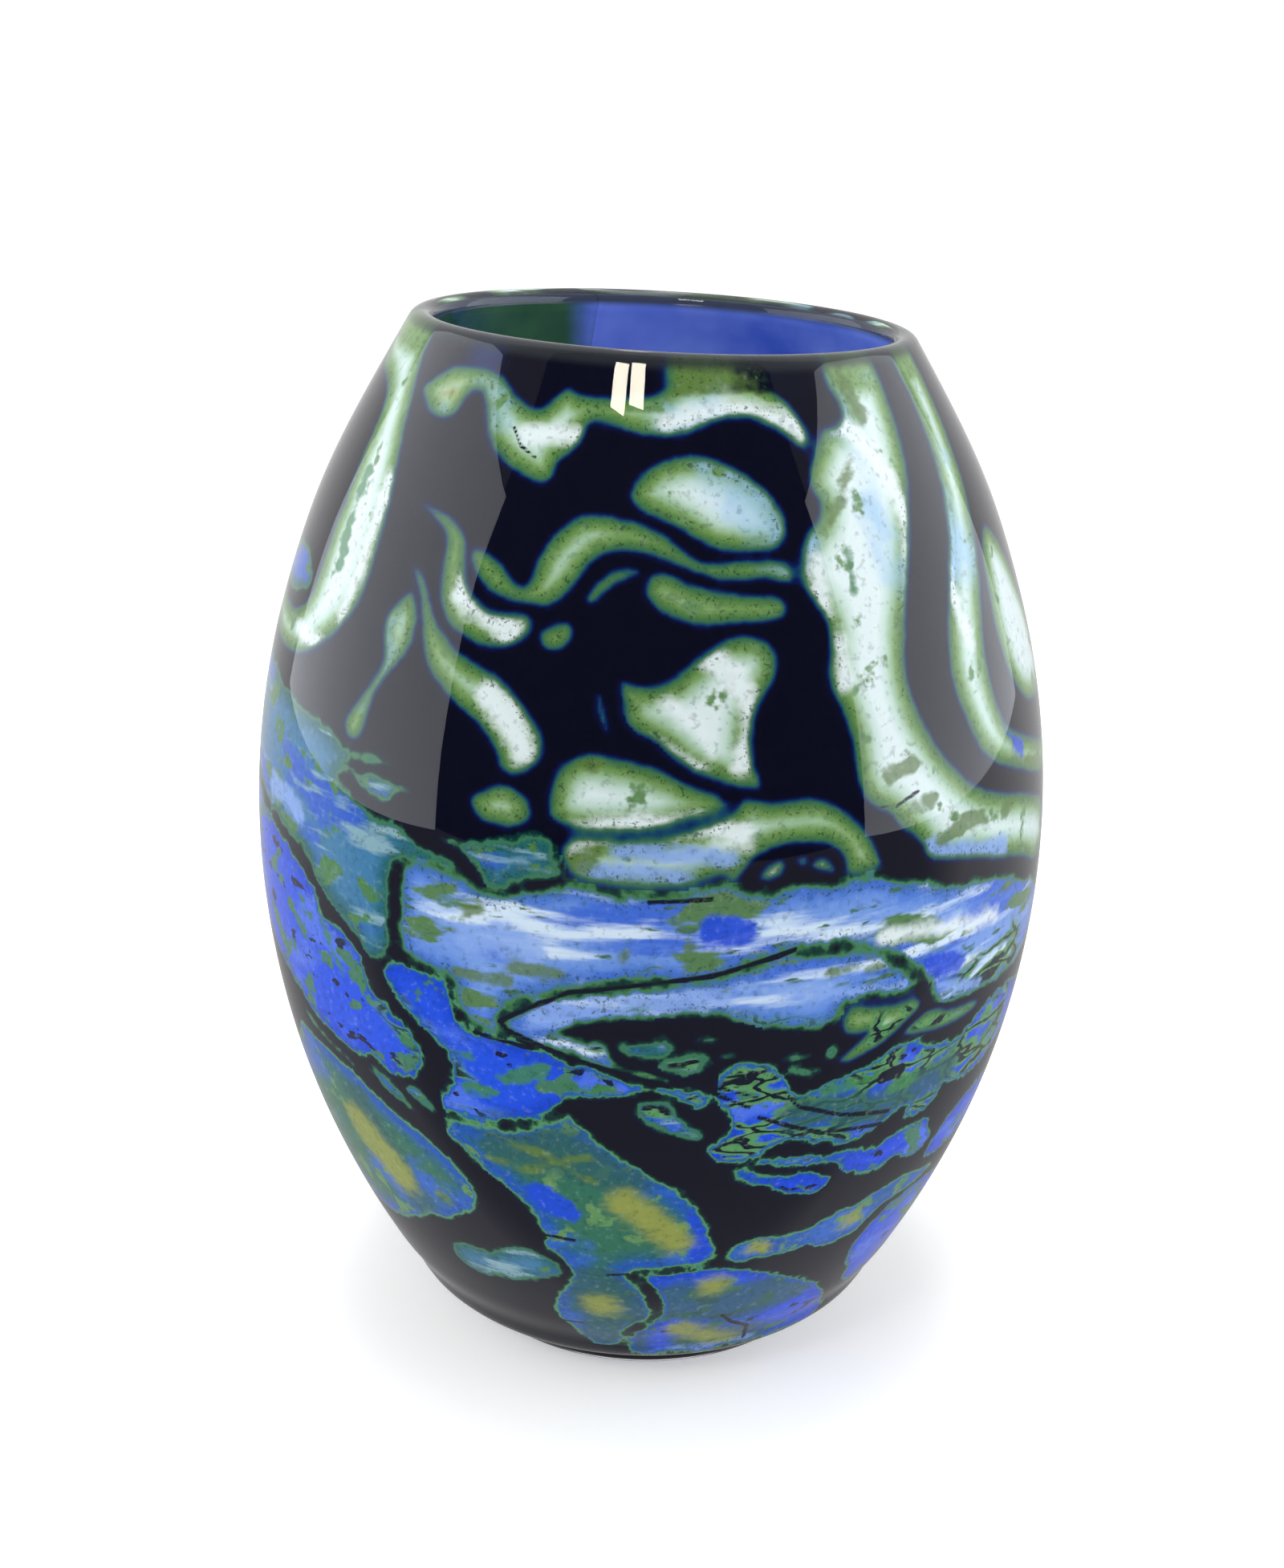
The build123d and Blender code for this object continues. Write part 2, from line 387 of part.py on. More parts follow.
@cache
def layer(outer_depth, inner_depth, seam=0):
    """The glass between two depths, up to where the clear lip starts."""
    outer = bowl(outer_depth)
    inner = bowl(inner_depth)
    top = Line(outer[-1] @ 1, inner[-1] @ 1)
    middle = Line(inner[0] @ 0, outer[0] @ 0)
    shell = revolved(outer + inner + [top, middle])
    return Rot(0, 0, seam) * shell - above_lip(LIP_ROLL)


def lip_edges(solid):
    """The two edges that the lip's plane cuts, the longer, outer one first."""
    middles = [(edge.center(CenterOf.BOUNDING_BOX).Z, edge) for edge in solid.edges()]
    level = [edge for height, edge in middles if abs(height - LIP_HEIGHT) < LEVEL]
    return sorted(level, key=lambda edge: -edge.length)


def clear_casing():
    """The clear outer gather: the wall, the thick base and the rolled lip."""
    pocket = plug(CASE) - above_lip(LIP_ROLL)
    casing = outer_solid() - above_lip(0) - plug(WALL) - pocket
    casing = fillet(lip_edges(casing)[0], LIP_OUTER_ROUND)
    return fillet(lip_edges(casing)[-1], LIP_INNER_ROUND)


def wedge(azimuth_from, azimuth_to):
    """A tall block between two upright planes through the axis."""
    corners = [(0, 0)]
    for azimuth in (azimuth_from, azimuth_to):
        out = direction(azimuth)
        corners.append((300 * out[0], 300 * out[1]))
    return extrude(make_face(Polyline(*corners, close=True)), amount=300)


def direction(azimuth):
    """The outward unit vector at an azimuth."""
    turn = math.radians(azimuth)
    return (math.sin(turn), -math.cos(turn), 0)


def radius_at(height):
    """The radius of the middle of the inlay layer at a height."""
    low, high = 0.0, 1.0
    for _ in range(24):
        middle = (low + high) / 2
        if wall_point(middle, CASE + INLAY / 2)[1] < height:
            low = middle
        else:
            high = middle
    return wall_point(low, CASE + INLAY / 2)[0]


def mixed(start, end, low, high, at):
    """The point that is on the line from start, at low, to end, at high, when at the value at."""
    share = (at - low) / (high - low)
    return tuple(a + (b - a) * share for a, b in zip(start, end))


def on_curve(points, share):
    """A point between the middle two of four points, on their centripetal Catmull-Rom curve."""
    knots = [0.0]
    for start, end in zip(points, points[1:]):
        knots.append(knots[-1] + math.sqrt(math.dist(start, end)))
    at = knots[1] + share * (knots[2] - knots[1])
    row = list(points)
    for reach in (1, 2):
        pairs = range(len(row) - 1)
        row = [mixed(row[i], row[i + 1], knots[i], knots[i + reach], at) for i in pairs]
    return mixed(row[0], row[1], knots[1], knots[2], at)


def rounded(points):
    """A closed outline with its corners eased into a smooth curve of short straight steps."""
    count = len(points)
    eased = []
    for i in range(count):
        four = [points[(i + k) % count] for k in (-1, 0, 1, 2)]
        eased += [on_curve(four, step / CURVE_STEPS) for step in range(CURVE_STEPS)]
    return eased


def column(outline):
    """A block through the wall whose outline is a closed curve of (azimuth, height)."""
    azimuths = [azimuth for azimuth, _ in outline]
    centre = (min(azimuths) + max(azimuths)) / 2
    points = []
    for azimuth, height in outline:
        across = radius_at(height) * math.sin(math.radians(azimuth - centre))
        points.append((across, height))
    out = Vector(*direction(centre))
    plane = Plane(origin=out * INLAY_START, x_dir=direction(centre + 90), z_dir=out)
    face = plane * make_face(Polyline(*rounded(points), close=True))
    return extrude(face, amount=OUTSIDE - INLAY_START, dir=out)


def back_outline(outline):
    """A front outline turned to the back, squeezed sideways, twisted and waved."""
    moved = []
    for azimuth, height in outline:
        twist = BACK_TWIST * math.sin(height / 45) * math.cos(math.radians(azimuth))
        wave = BACK_WAVE * math.sin(math.radians(2 * azimuth + 40))
        fade = math.sin(math.pi * min(max(height / LIP_HEIGHT, 0), 1))
        moved.append((180 + BACK_SQUEEZE * azimuth + twist, height + wave * fade))
    return moved


def inlay_outlines():
    """Every inlay node's name and its outlines, front and back."""
    named = {"inlay_" + name: outlines for name, outlines in FRONT.items()}
    for name in BACK_NAMES:
        named["inlay_back_" + name] = [back_outline(outline) for outline in FRONT[name]]
    return named


def save(solids, name):
    """Writes one node."""
    export_step(Compound(label=name, children=list(solids)), f"parts/{name}.step")


def build():
    """Makes every node of the vase."""
    os.makedirs("parts", exist_ok=True)
    save(clear_casing().solids(), "clear_casing")
    pockets = []
    for name, outlines in inlay_outlines().items():
        seam = SEAMS.get(name, 0)
        inlay_layer = layer(CASE, CASE + INLAY, seam)
        pocket_layer = layer(CASE - 1, CASE + INLAY, seam)
        columns = [column(outline) for outline in outlines]
        save([(block & inlay_layer).solids()[0] for block in columns], name)
        pockets += [(block & pocket_layer).solids()[0] for block in columns]
    ground = layer(CASE, CASE + INLAY + GROUND, GROUND_SEAM) - pockets
    save(ground.solids(), "dark_ground")
    lining = layer(CASE + INLAY + GROUND, WALL)
    green_side = wedge(GREEN_FROM, GREEN_TO)
    save((lining & green_side).solids(), "lining_green")
    save((lining - green_side).solids(), "lining_blue")


build()
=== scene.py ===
import json
import math

import bpy
import numpy as np
from mathutils import Matrix, Vector


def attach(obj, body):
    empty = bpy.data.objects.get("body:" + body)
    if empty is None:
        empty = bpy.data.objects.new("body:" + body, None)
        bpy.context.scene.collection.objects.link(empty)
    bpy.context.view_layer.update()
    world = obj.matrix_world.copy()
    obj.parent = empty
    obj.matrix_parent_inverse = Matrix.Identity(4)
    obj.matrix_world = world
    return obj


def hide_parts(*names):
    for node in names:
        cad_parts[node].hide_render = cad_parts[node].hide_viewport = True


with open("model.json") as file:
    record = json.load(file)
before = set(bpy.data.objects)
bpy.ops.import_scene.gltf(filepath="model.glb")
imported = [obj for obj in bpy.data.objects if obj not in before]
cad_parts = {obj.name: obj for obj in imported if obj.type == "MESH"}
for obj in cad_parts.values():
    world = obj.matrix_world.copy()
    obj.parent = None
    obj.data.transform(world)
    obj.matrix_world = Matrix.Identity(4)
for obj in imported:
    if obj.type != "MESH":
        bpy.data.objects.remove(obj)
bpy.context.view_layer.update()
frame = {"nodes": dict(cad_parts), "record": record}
NODES = frame["nodes"]

# Metres, +Z up, the front is -Y. Azimuth is in degrees, 0 at the front and growing towards +X.
MM = 0.001

# Depths in the glass, from the outside in.
CASE = 3.5 * MM
INLAY = 0.8 * MM
BEHIND = 4.2 * MM      # where the lining's hidden outer face lies
WALL = 6.3 * MM
HIDDEN = 0.35 * MM     # how far the casing's inner face lies inside the coloured glass

# The lip: how far below its plane each layer ends.
LIP_ROLL = 4.5 * MM       # the CAD's coloured layers
LIP_RISE = 3.2 * MM       # the half-round lip's foot, from its crest
LINING_DROP = 3.4 * MM    # the lining's bore
COLOUR_DROP = 1.3 * MM    # the coloured skin
BACKING_DROP = 0.6 * MM   # the lining's outer edge

# The colours run straight on above and below the patches' cut ends.
OPEN_TOP = 2.5 * MM       # from this far below the cut ends
OPEN_BOTTOM = 10.5 * MM   # and down from this height

# The base, and where the layers bend into it.
FLOOR = 4.5 * MM
BEND_RADIUS = 45.0 * MM
BEND_FROM = 17.0 * MM
BEND_FULLNESS = 0.62
FOOT_RADIUS = 49.0 * MM
SKIN_FLOOR, SKIN_FOOT = 1.0 * MM, 47.5 * MM    # the coloured skin's lower edge

# The wall's curve follows the CAD's points between the hull's two heights, at this spacing. Low down, where
# the wall bends most, they are closer together. The curve is worked out from WALL_FROM to WALL_TO.
HULL_FROM, HULL_TO = 4.8 * MM, 248.0 * MM
WALL_SPACING = 17 * MM
LOW_SPACING, LOW_WALL = 5 * MM, 45 * MM
WALL_FROM, WALL_TO, WALL_STEPS = 6.0 * MM, 256.0 * MM, 1200
LIP_SECTORS, SECTOR_HALF = 24, 0.14    # where the lip's height is taken, and half a sector in radians
GROUND_BELOW = 3.3 * MM                # everything lower than this is dark ground

# Fineness of the meshes.
SKIN_ROW = 0.85 * MM
FRONT_STEP, BACK_STEP = 0.5, 1.0
CASING_COLUMNS, CASING_ROWS = 288, 150
LINING_STEP, LINING_ROWS = 1.2, 110
BEND_ROWS = 9

# The lining is green from one of these azimuths to the other, and blue for the rest.
GREEN_FROM, GREEN_TO = -163.0, -20.0

# ---------------------------------------------------------------- the wall's shape, from the CAD


def corners(node):
    """A CAD node's vertices as an array."""
    mesh = NODES[node].data
    values = np.zeros(len(mesh.vertices) * 3)
    mesh.vertices.foreach_get("co", values)
    return values.reshape(-1, 3)


def hull_profile(points):
    """The (height, radius) points on the upper convex hull."""
    flat = sorted({(round(z, 7), round(math.hypot(x, y), 7)) for x, y, z in points})
    hull = []
    for at in flat:
        while len(hull) > 1 and turn(hull[-2], hull[-1], at) >= 0:
            hull.pop()
        hull.append(at)
    return np.array(hull)


def spaced(points):
    """Some of the points, well apart, with the first and the last."""
    kept = [points[0]]
    for at in points[1:-1]:
        gap = LOW_SPACING if at[0] < LOW_WALL else WALL_SPACING
        if at[0] - kept[-1][0] > gap and points[-1][0] - at[0] > gap:
            kept.append(at)
    return np.array(kept + [points[-1]])


def turn(a, b, c):
    """Positive where the way from a over b to c turns left."""
    return (b[0] - a[0]) * (c[1] - a[1]) - (b[1] - a[1]) * (c[0] - a[0])


def natural_spline(xs, ys):
    """A smooth curve through points: a function of x."""
    count = len(xs)
    gaps = np.diff(xs)
    matrix = np.eye(count)
    right = np.zeros(count)
    for i in range(1, count - 1):
        matrix[i, i - 1 : i + 2] = gaps[i - 1], 2 * (gaps[i - 1] + gaps[i]), gaps[i]
        right[i] = 6 * ((ys[i + 1] - ys[i]) / gaps[i] - (ys[i] - ys[i - 1]) / gaps[i - 1])
    bend = np.linalg.solve(matrix, right)

    def value(x):
        i = np.clip(np.searchsorted(xs, x) - 1, 0, count - 2)
        gap = gaps[i]
        low, high = (xs[i + 1] - x) / gap, (x - xs[i]) / gap
        curved = (low**3 - low) * bend[i] + (high**3 - high) * bend[i + 1]
        return low * ys[i] + high * ys[i + 1] + curved * gap**2 / 6

    return value


casing_points = corners("clear_casing")
wall_points = hull_profile(casing_points[casing_points[:, 2] > HULL_FROM])
wall_points = spaced(wall_points[wall_points[:, 0] < HULL_TO])
outer_radius = natural_spline(wall_points[:, 0], wall_points[:, 1])


def lip_plane():
    """(height at the axis, slope along X, slope along Y) of the lip's crest."""
    angles = np.arctan2(casing_points[:, 1], casing_points[:, 0])
    crest = []
    for sector in np.linspace(-math.pi, math.pi, LIP_SECTORS + 1)[:-1]:
        near = casing_points[np.abs(angles - sector) < SECTOR_HALF]
        crest.append(near[near[:, 2].argmax()])
    crest = np.array(crest)
    columns = np.column_stack([np.ones(len(crest)), crest[:, 0], crest[:, 1]])
    return np.linalg.lstsq(columns, crest[:, 2], rcond=None)[0]


LIP = lip_plane()

# The wall as (radius, height) and the way up along it, in short steps of arc length.
WALL_Z = np.linspace(WALL_FROM, WALL_TO, WALL_STEPS)
WALL_R = outer_radius(WALL_Z)
WALL_S = np.concatenate([[0], np.cumsum(np.hypot(np.diff(WALL_Z), np.diff(WALL_R)))])
UP_R = np.gradient(WALL_R, WALL_S)
UP_Z = np.gradient(WALL_Z, WALL_S)
BEND_S = float(np.interp(BEND_FROM, WALL_Z, WALL_S))


def wall(along, depth):
    """(radius, height) at a length along the wall and a depth in the glass."""
    radius, height = np.interp(along, WALL_S, WALL_R), np.interp(along, WALL_S, WALL_Z)
    up_r, up_z = np.interp(along, WALL_S, UP_R), np.interp(along, WALL_S, UP_Z)
    return radius - depth * up_z, height + depth * up_r


def along_to_lip(azimuth, depth, drop):
    """The length along the wall at which a depth meets the lip's plane, lowered by a drop."""
    turned = math.radians(azimuth)
    radius, height = wall(WALL_S, depth)
    plane = LIP[0] - drop + radius * (LIP[1] * math.sin(turned) - LIP[2] * math.cos(turned))
    return float(np.interp(0, height - plane, WALL_S))


def place(azimuth, radius, height):
    """Points from azimuth, radius and height."""
    turned = np.radians(azimuth)
    return np.stack([radius * np.sin(turned), -radius * np.cos(turned), height + 0 * turned], -1)


def floor_edge(depth):
    """(radius, height) of the floor's edge. The coloured skin runs on under the foot."""
    if depth == CASE:
        return SKIN_FOOT, SKIN_FLOOR
    return BEND_RADIUS + CASE - depth, FLOOR + depth - CASE


def bend(depth, share):
    """(radius, height) on the curve from the floor's edge, at 0, to the wall's start, at 1."""
    end_r, end_z = wall(BEND_S, depth)
    start, floor = floor_edge(depth)
    middle = end_r - (end_z - floor) * BEND_FULLNESS
    radius = (1 - share) ** 2 * start + 2 * share * (1 - share) * middle + share**2 * end_r
    return radius, floor + (end_z - floor) * share**2


# ---------------------------------------------------------------- meshes


def add_mesh(name, points, faces):
    """A new smooth mesh object in the scene."""
    mesh = bpy.data.meshes.new(name)
    mesh.from_pydata([tuple(p) for p in points], [], [tuple(f) for f in faces])
    mesh.update()
    mesh.shade_smooth()
    piece = bpy.data.objects.new(name, mesh)
    bpy.context.scene.collection.objects.link(piece)
    return piece


def grid_faces(rows, columns, closed):
    """The quads of a grid of points, row by row, as index quadruples."""
    last = columns if closed else columns - 1
    row, column = np.meshgrid(np.arange(rows - 1), np.arange(last), indexing="ij")
    near = row * columns + column
    far = row * columns + (column + 1) % columns
    return np.stack([near, far, far + columns, near + columns], -1).reshape(-1, 4)


def weld_fan(faces, ring, centre, flip):
    """Triangles from a closed ring of points to a centre point."""
    fan = [(a, b, centre) for a, b in zip(ring, np.roll(ring, -1))]
    return [tuple(f) for f in faces] + [f[::-1] if flip else f for f in fan]


def shell_rows(azimuth, depth, drop, count):
    """Points up the wall at one azimuth: the bend, then the side up to the dropped lip plane."""
    top = along_to_lip(azimuth, depth, drop)
    low_r, low_z = bend(depth, np.linspace(0, 1, BEND_ROWS)[:-1])
    high_r, high_z = wall(np.linspace(BEND_S, top, count), depth)
    return np.concatenate([low_r, high_r]), np.concatenate([low_z, high_z])


def casing_profile(azimuth):
    """(radius, height) round the clear casing: foot, wall, rolled lip and its hidden inner face."""
    end = along_to_lip(azimuth, WALL / 2, 0) - LIP_RISE
    heel = np.linspace(0, math.pi / 2, BEND_ROWS)[:-1]
    start_r, start_z = wall(0.0, 0.0)
    heel_r = FOOT_RADIUS + (start_r - FOOT_RADIUS) * np.sin(heel)
    heel_z = start_z * (1 - np.cos(heel))
    outer_r, outer_z = wall(np.linspace(0, end, CASING_ROWS), 0.0)
    half_turn = np.linspace(0, math.pi, 20)[1:-1]
    middle_r, middle_z = wall(end + LIP_RISE * np.sin(half_turn), WALL / 2)
    out_r, out_z = wall(end, 0.0)
    in_r, in_z = wall(end, WALL)
    lip_r = middle_r + (out_r - in_r) / 2 * np.cos(half_turn)
    lip_z = middle_z + (out_z - in_z) / 2 * np.cos(half_turn)
    roll = min(along_to_lip(azimuth, WALL, LINING_DROP), end - 0.2 * MM)
    inner_r, inner_z = wall(np.linspace(end, roll, 3), WALL)
    step = min(along_to_lip(azimuth, CASE, LINING_DROP), end - 0.2 * MM)
    step_r, step_z = wall(step, np.linspace(WALL, CASE + HIDDEN, 6)[1:])
    down_r, down_z = wall(np.linspace(step, BEND_S, 60)[1:], CASE + HIDDEN)
    low_r, low_z = bend(CASE + HIDDEN, np.linspace(1, 0, BEND_ROWS)[1:])
    radii = [[FOOT_RADIUS * 0.5], heel_r, outer_r, lip_r, inner_r, step_r, down_r, low_r]
    heights = [[0.0], heel_z, outer_z, lip_z, inner_z, step_z, down_z, low_z]
    return np.concatenate(radii), np.concatenate(heights)


def clear_casing():
    """The clear glass as one closed surface."""
    azimuths = np.linspace(-180, 180, CASING_COLUMNS + 1)[:-1]
    rings = []
    for azimuth in azimuths:
        radius, height = casing_profile(azimuth)
        rings.append(place(np.full(len(radius), azimuth), radius, height))
    points = np.array(rings).transpose(1, 0, 2)
    rows, columns = points.shape[:2]
    under = rows * columns
    floor = FLOOR + HIDDEN
    flat = np.concatenate([points.reshape(-1, 3), [[0, 0, 0], [0, 0, floor]]])
    faces = grid_faces(rows, columns, True)
    faces = weld_fan(faces, np.arange(columns), under, True)
    faces = weld_fan(faces, np.arange(columns) + (rows - 1) * columns, under + 1, False)
    return add_mesh("glass_casing", flat, faces)


def lining(name, start, end):
    """One colour of the lining: a thick shell between two azimuths."""
    azimuths = np.linspace(start, end, int((end - start) / LINING_STEP) + 1)
    inside, outside = [], []
    for azimuth in azimuths:
        for depth, drop, rows in ((WALL, LINING_DROP, inside), (BEHIND, BACKING_DROP, outside)):
            radius, height = shell_rows(azimuth, depth, drop, LINING_ROWS)
            radius = np.concatenate([[1 * MM], radius])
            height = np.concatenate([[FLOOR + depth - CASE], height])
            rows.append(place(np.full(len(radius), azimuth), radius, height))
    sides = np.concatenate([np.array(inside), np.array(outside)[:, ::-1]], 1)
    points = sides.transpose(1, 0, 2)
    rows, columns = points.shape[:2]
    faces = grid_faces(rows, columns, False).tolist()
    across = rows // 2
    for column in (0, columns - 1):
        for row in range(across - 1):
            near, far = row, rows - 1 - row
            edge = [near, near + 1, far - 1, far]
            quad = [k * columns + column for k in edge]
            faces.append(quad if column else quad[::-1])
    return add_mesh(name, points.reshape(-1, 3), faces)


# ---------------------------------------------------------------- outlines of the patches, from the CAD


def patch_loops(node):
    """The closed outlines of a patch's outer faces, as arrays of (azimuth, height)."""
    mesh = NODES[node].data
    points = corners(node)
    keys = {}
    weld = np.array([keys.setdefault(tuple(np.round(p, 6)), len(keys)) for p in points])
    spots = np.array(list(keys))
    radius = np.hypot(spots[:, 0], spots[:, 1])
    way = np.interp(spots[:, 2], WALL_Z, UP_Z)
    outer = (outer_radius(spots[:, 2]) - radius) * way < CASE + INLAY / 2
    edges = {}
    for triangle in mesh.polygons:
        ring = [weld[v] for v in triangle.vertices]
        if all(outer[v] for v in ring):
            for a, b in zip(ring, ring[1:] + ring[:1]):
                edges[(a, b)] = True
    rim = {a: b for a, b in edges if (b, a) not in edges}
    loops = []
    while rim:
        start, at = rim.popitem()
        loop = [start]
        while at != start and at in rim:
            loop.append(at)
            at = rim.pop(at)
        if len(loop) > 5:
            loops.append(smoothed(flat_azimuths(spots[loop])))
    return loops


def flat_azimuths(spots):
    """Points as (azimuth, height), with azimuths that don't jump at the back."""
    azimuth = np.degrees(np.arctan2(spots[:, 0], -spots[:, 1]))
    return np.column_stack([np.degrees(np.unwrap(np.radians(azimuth))), spots[:, 2]])


def smoothed(loop):
    """A closed outline with its corners cut twice, so that it curves."""
    for _ in range(2):
        after = np.roll(loop, -1, 0)
        loop = np.stack([loop * 0.75 + after * 0.25, loop * 0.25 + after * 0.75], 1).reshape(-1, 2)
    return loop


def gap_to_lines(azimuth, height, starts, ends):
    """The distance from each point to the nearest of many short lines."""
    scale = np.radians(1.0) * np.interp(height, WALL_Z, WALL_R)[:, None]
    lean = 1 / np.interp(height, WALL_Z, UP_Z)[:, None]
    ax, ay = (starts[:, 0] - azimuth[:, None]) * scale, (starts[:, 1] - height[:, None]) * lean
    bx, by = (ends[:, 0] - azimuth[:, None]) * scale, (ends[:, 1] - height[:, None]) * lean
    dx, dy = bx - ax, by - ay
    share = np.clip(-(ax * dx + ay * dy) / np.maximum(dx * dx + dy * dy, 1e-12), 0, 1)
    return np.hypot(ax + share * dx, ay + share * dy).min(1)


def inside_loop(azimuth, height, loop):
    """True for the points inside a closed outline."""
    after = np.roll(loop, -1, 0)
    crosses = (loop[:, 1] > height[:, None]) != (after[:, 1] > height[:, None])
    rise = np.where(after[:, 1] == loop[:, 1], 1e-9, after[:, 1] - loop[:, 1])
    share = (height[:, None] - loop[:, 1]) / rise
    at = loop[:, 0] + share * (after[:, 0] - loop[:, 0])
    return (crosses & (azimuth[:, None] < at)).sum(1) % 2 == 1


FAR = -12 * MM       # stands for any depth further outside an outline than this


def near_box(azimuth, height, points, margin):
    """The turn of azimuth that suits an outline, and which grid points lie near its box."""
    middle = (points[:, 0].min() + points[:, 0].max()) / 2
    turned = middle + (azimuth - middle + 180) % 360 - 180
    wide = math.degrees(margin / BEND_RADIUS)    # the wall is nowhere narrower
    near = (turned > points[:, 0].min() - wide) & (turned < points[:, 0].max() + wide)
    near &= (height > points[:, 1].min() - margin) & (height < points[:, 1].max() + margin)
    return turned, near


def depth_in(azimuth, height, loops):
    """How far inside an outline each point lies, negative outside."""
    result = np.full(len(azimuth), FAR)
    for loop in loops:
        turned, near = near_box(azimuth, height, loop, -FAR)
        at, level = turned[near], height[near]
        gap = gap_to_lines(at, level, loop, np.roll(loop, -1, 0))
        signed = np.where(inside_loop(at, level, loop), gap, -gap)
        result[near] = np.maximum(result[near], signed)
    return result


def smooth_max(a, b, reach):
    """The larger of two values, rounded upwards where they are close."""
    close = np.clip(reach - np.abs(a - b), 0, None) / reach
    return np.maximum(a, b) + close**2 * reach / 4


# ---------------------------------------------------------------- the coloured skin

# Patches that touch: their seam shows as a thin green line instead of the dark ground.
JOINED = [
    ("ribbon_top", "ribbon_right_inner"), ("ribbon_wave", "ribbon_right_inner"),
    ("band_upper", "band_nose"), ("band_nose", "belt"), ("belt", "feather_left"),
    ("belt", "swoosh"), ("belt", "cobalt_centre"), ("feather_left", "cobalt_centre"),
    ("cobalt_centre", "tongue_centre"), ("tongue_centre", "mass_low_right"),
    ("flame_right", "swoosh"),
]
JOIN_REACH = 3.5 * MM

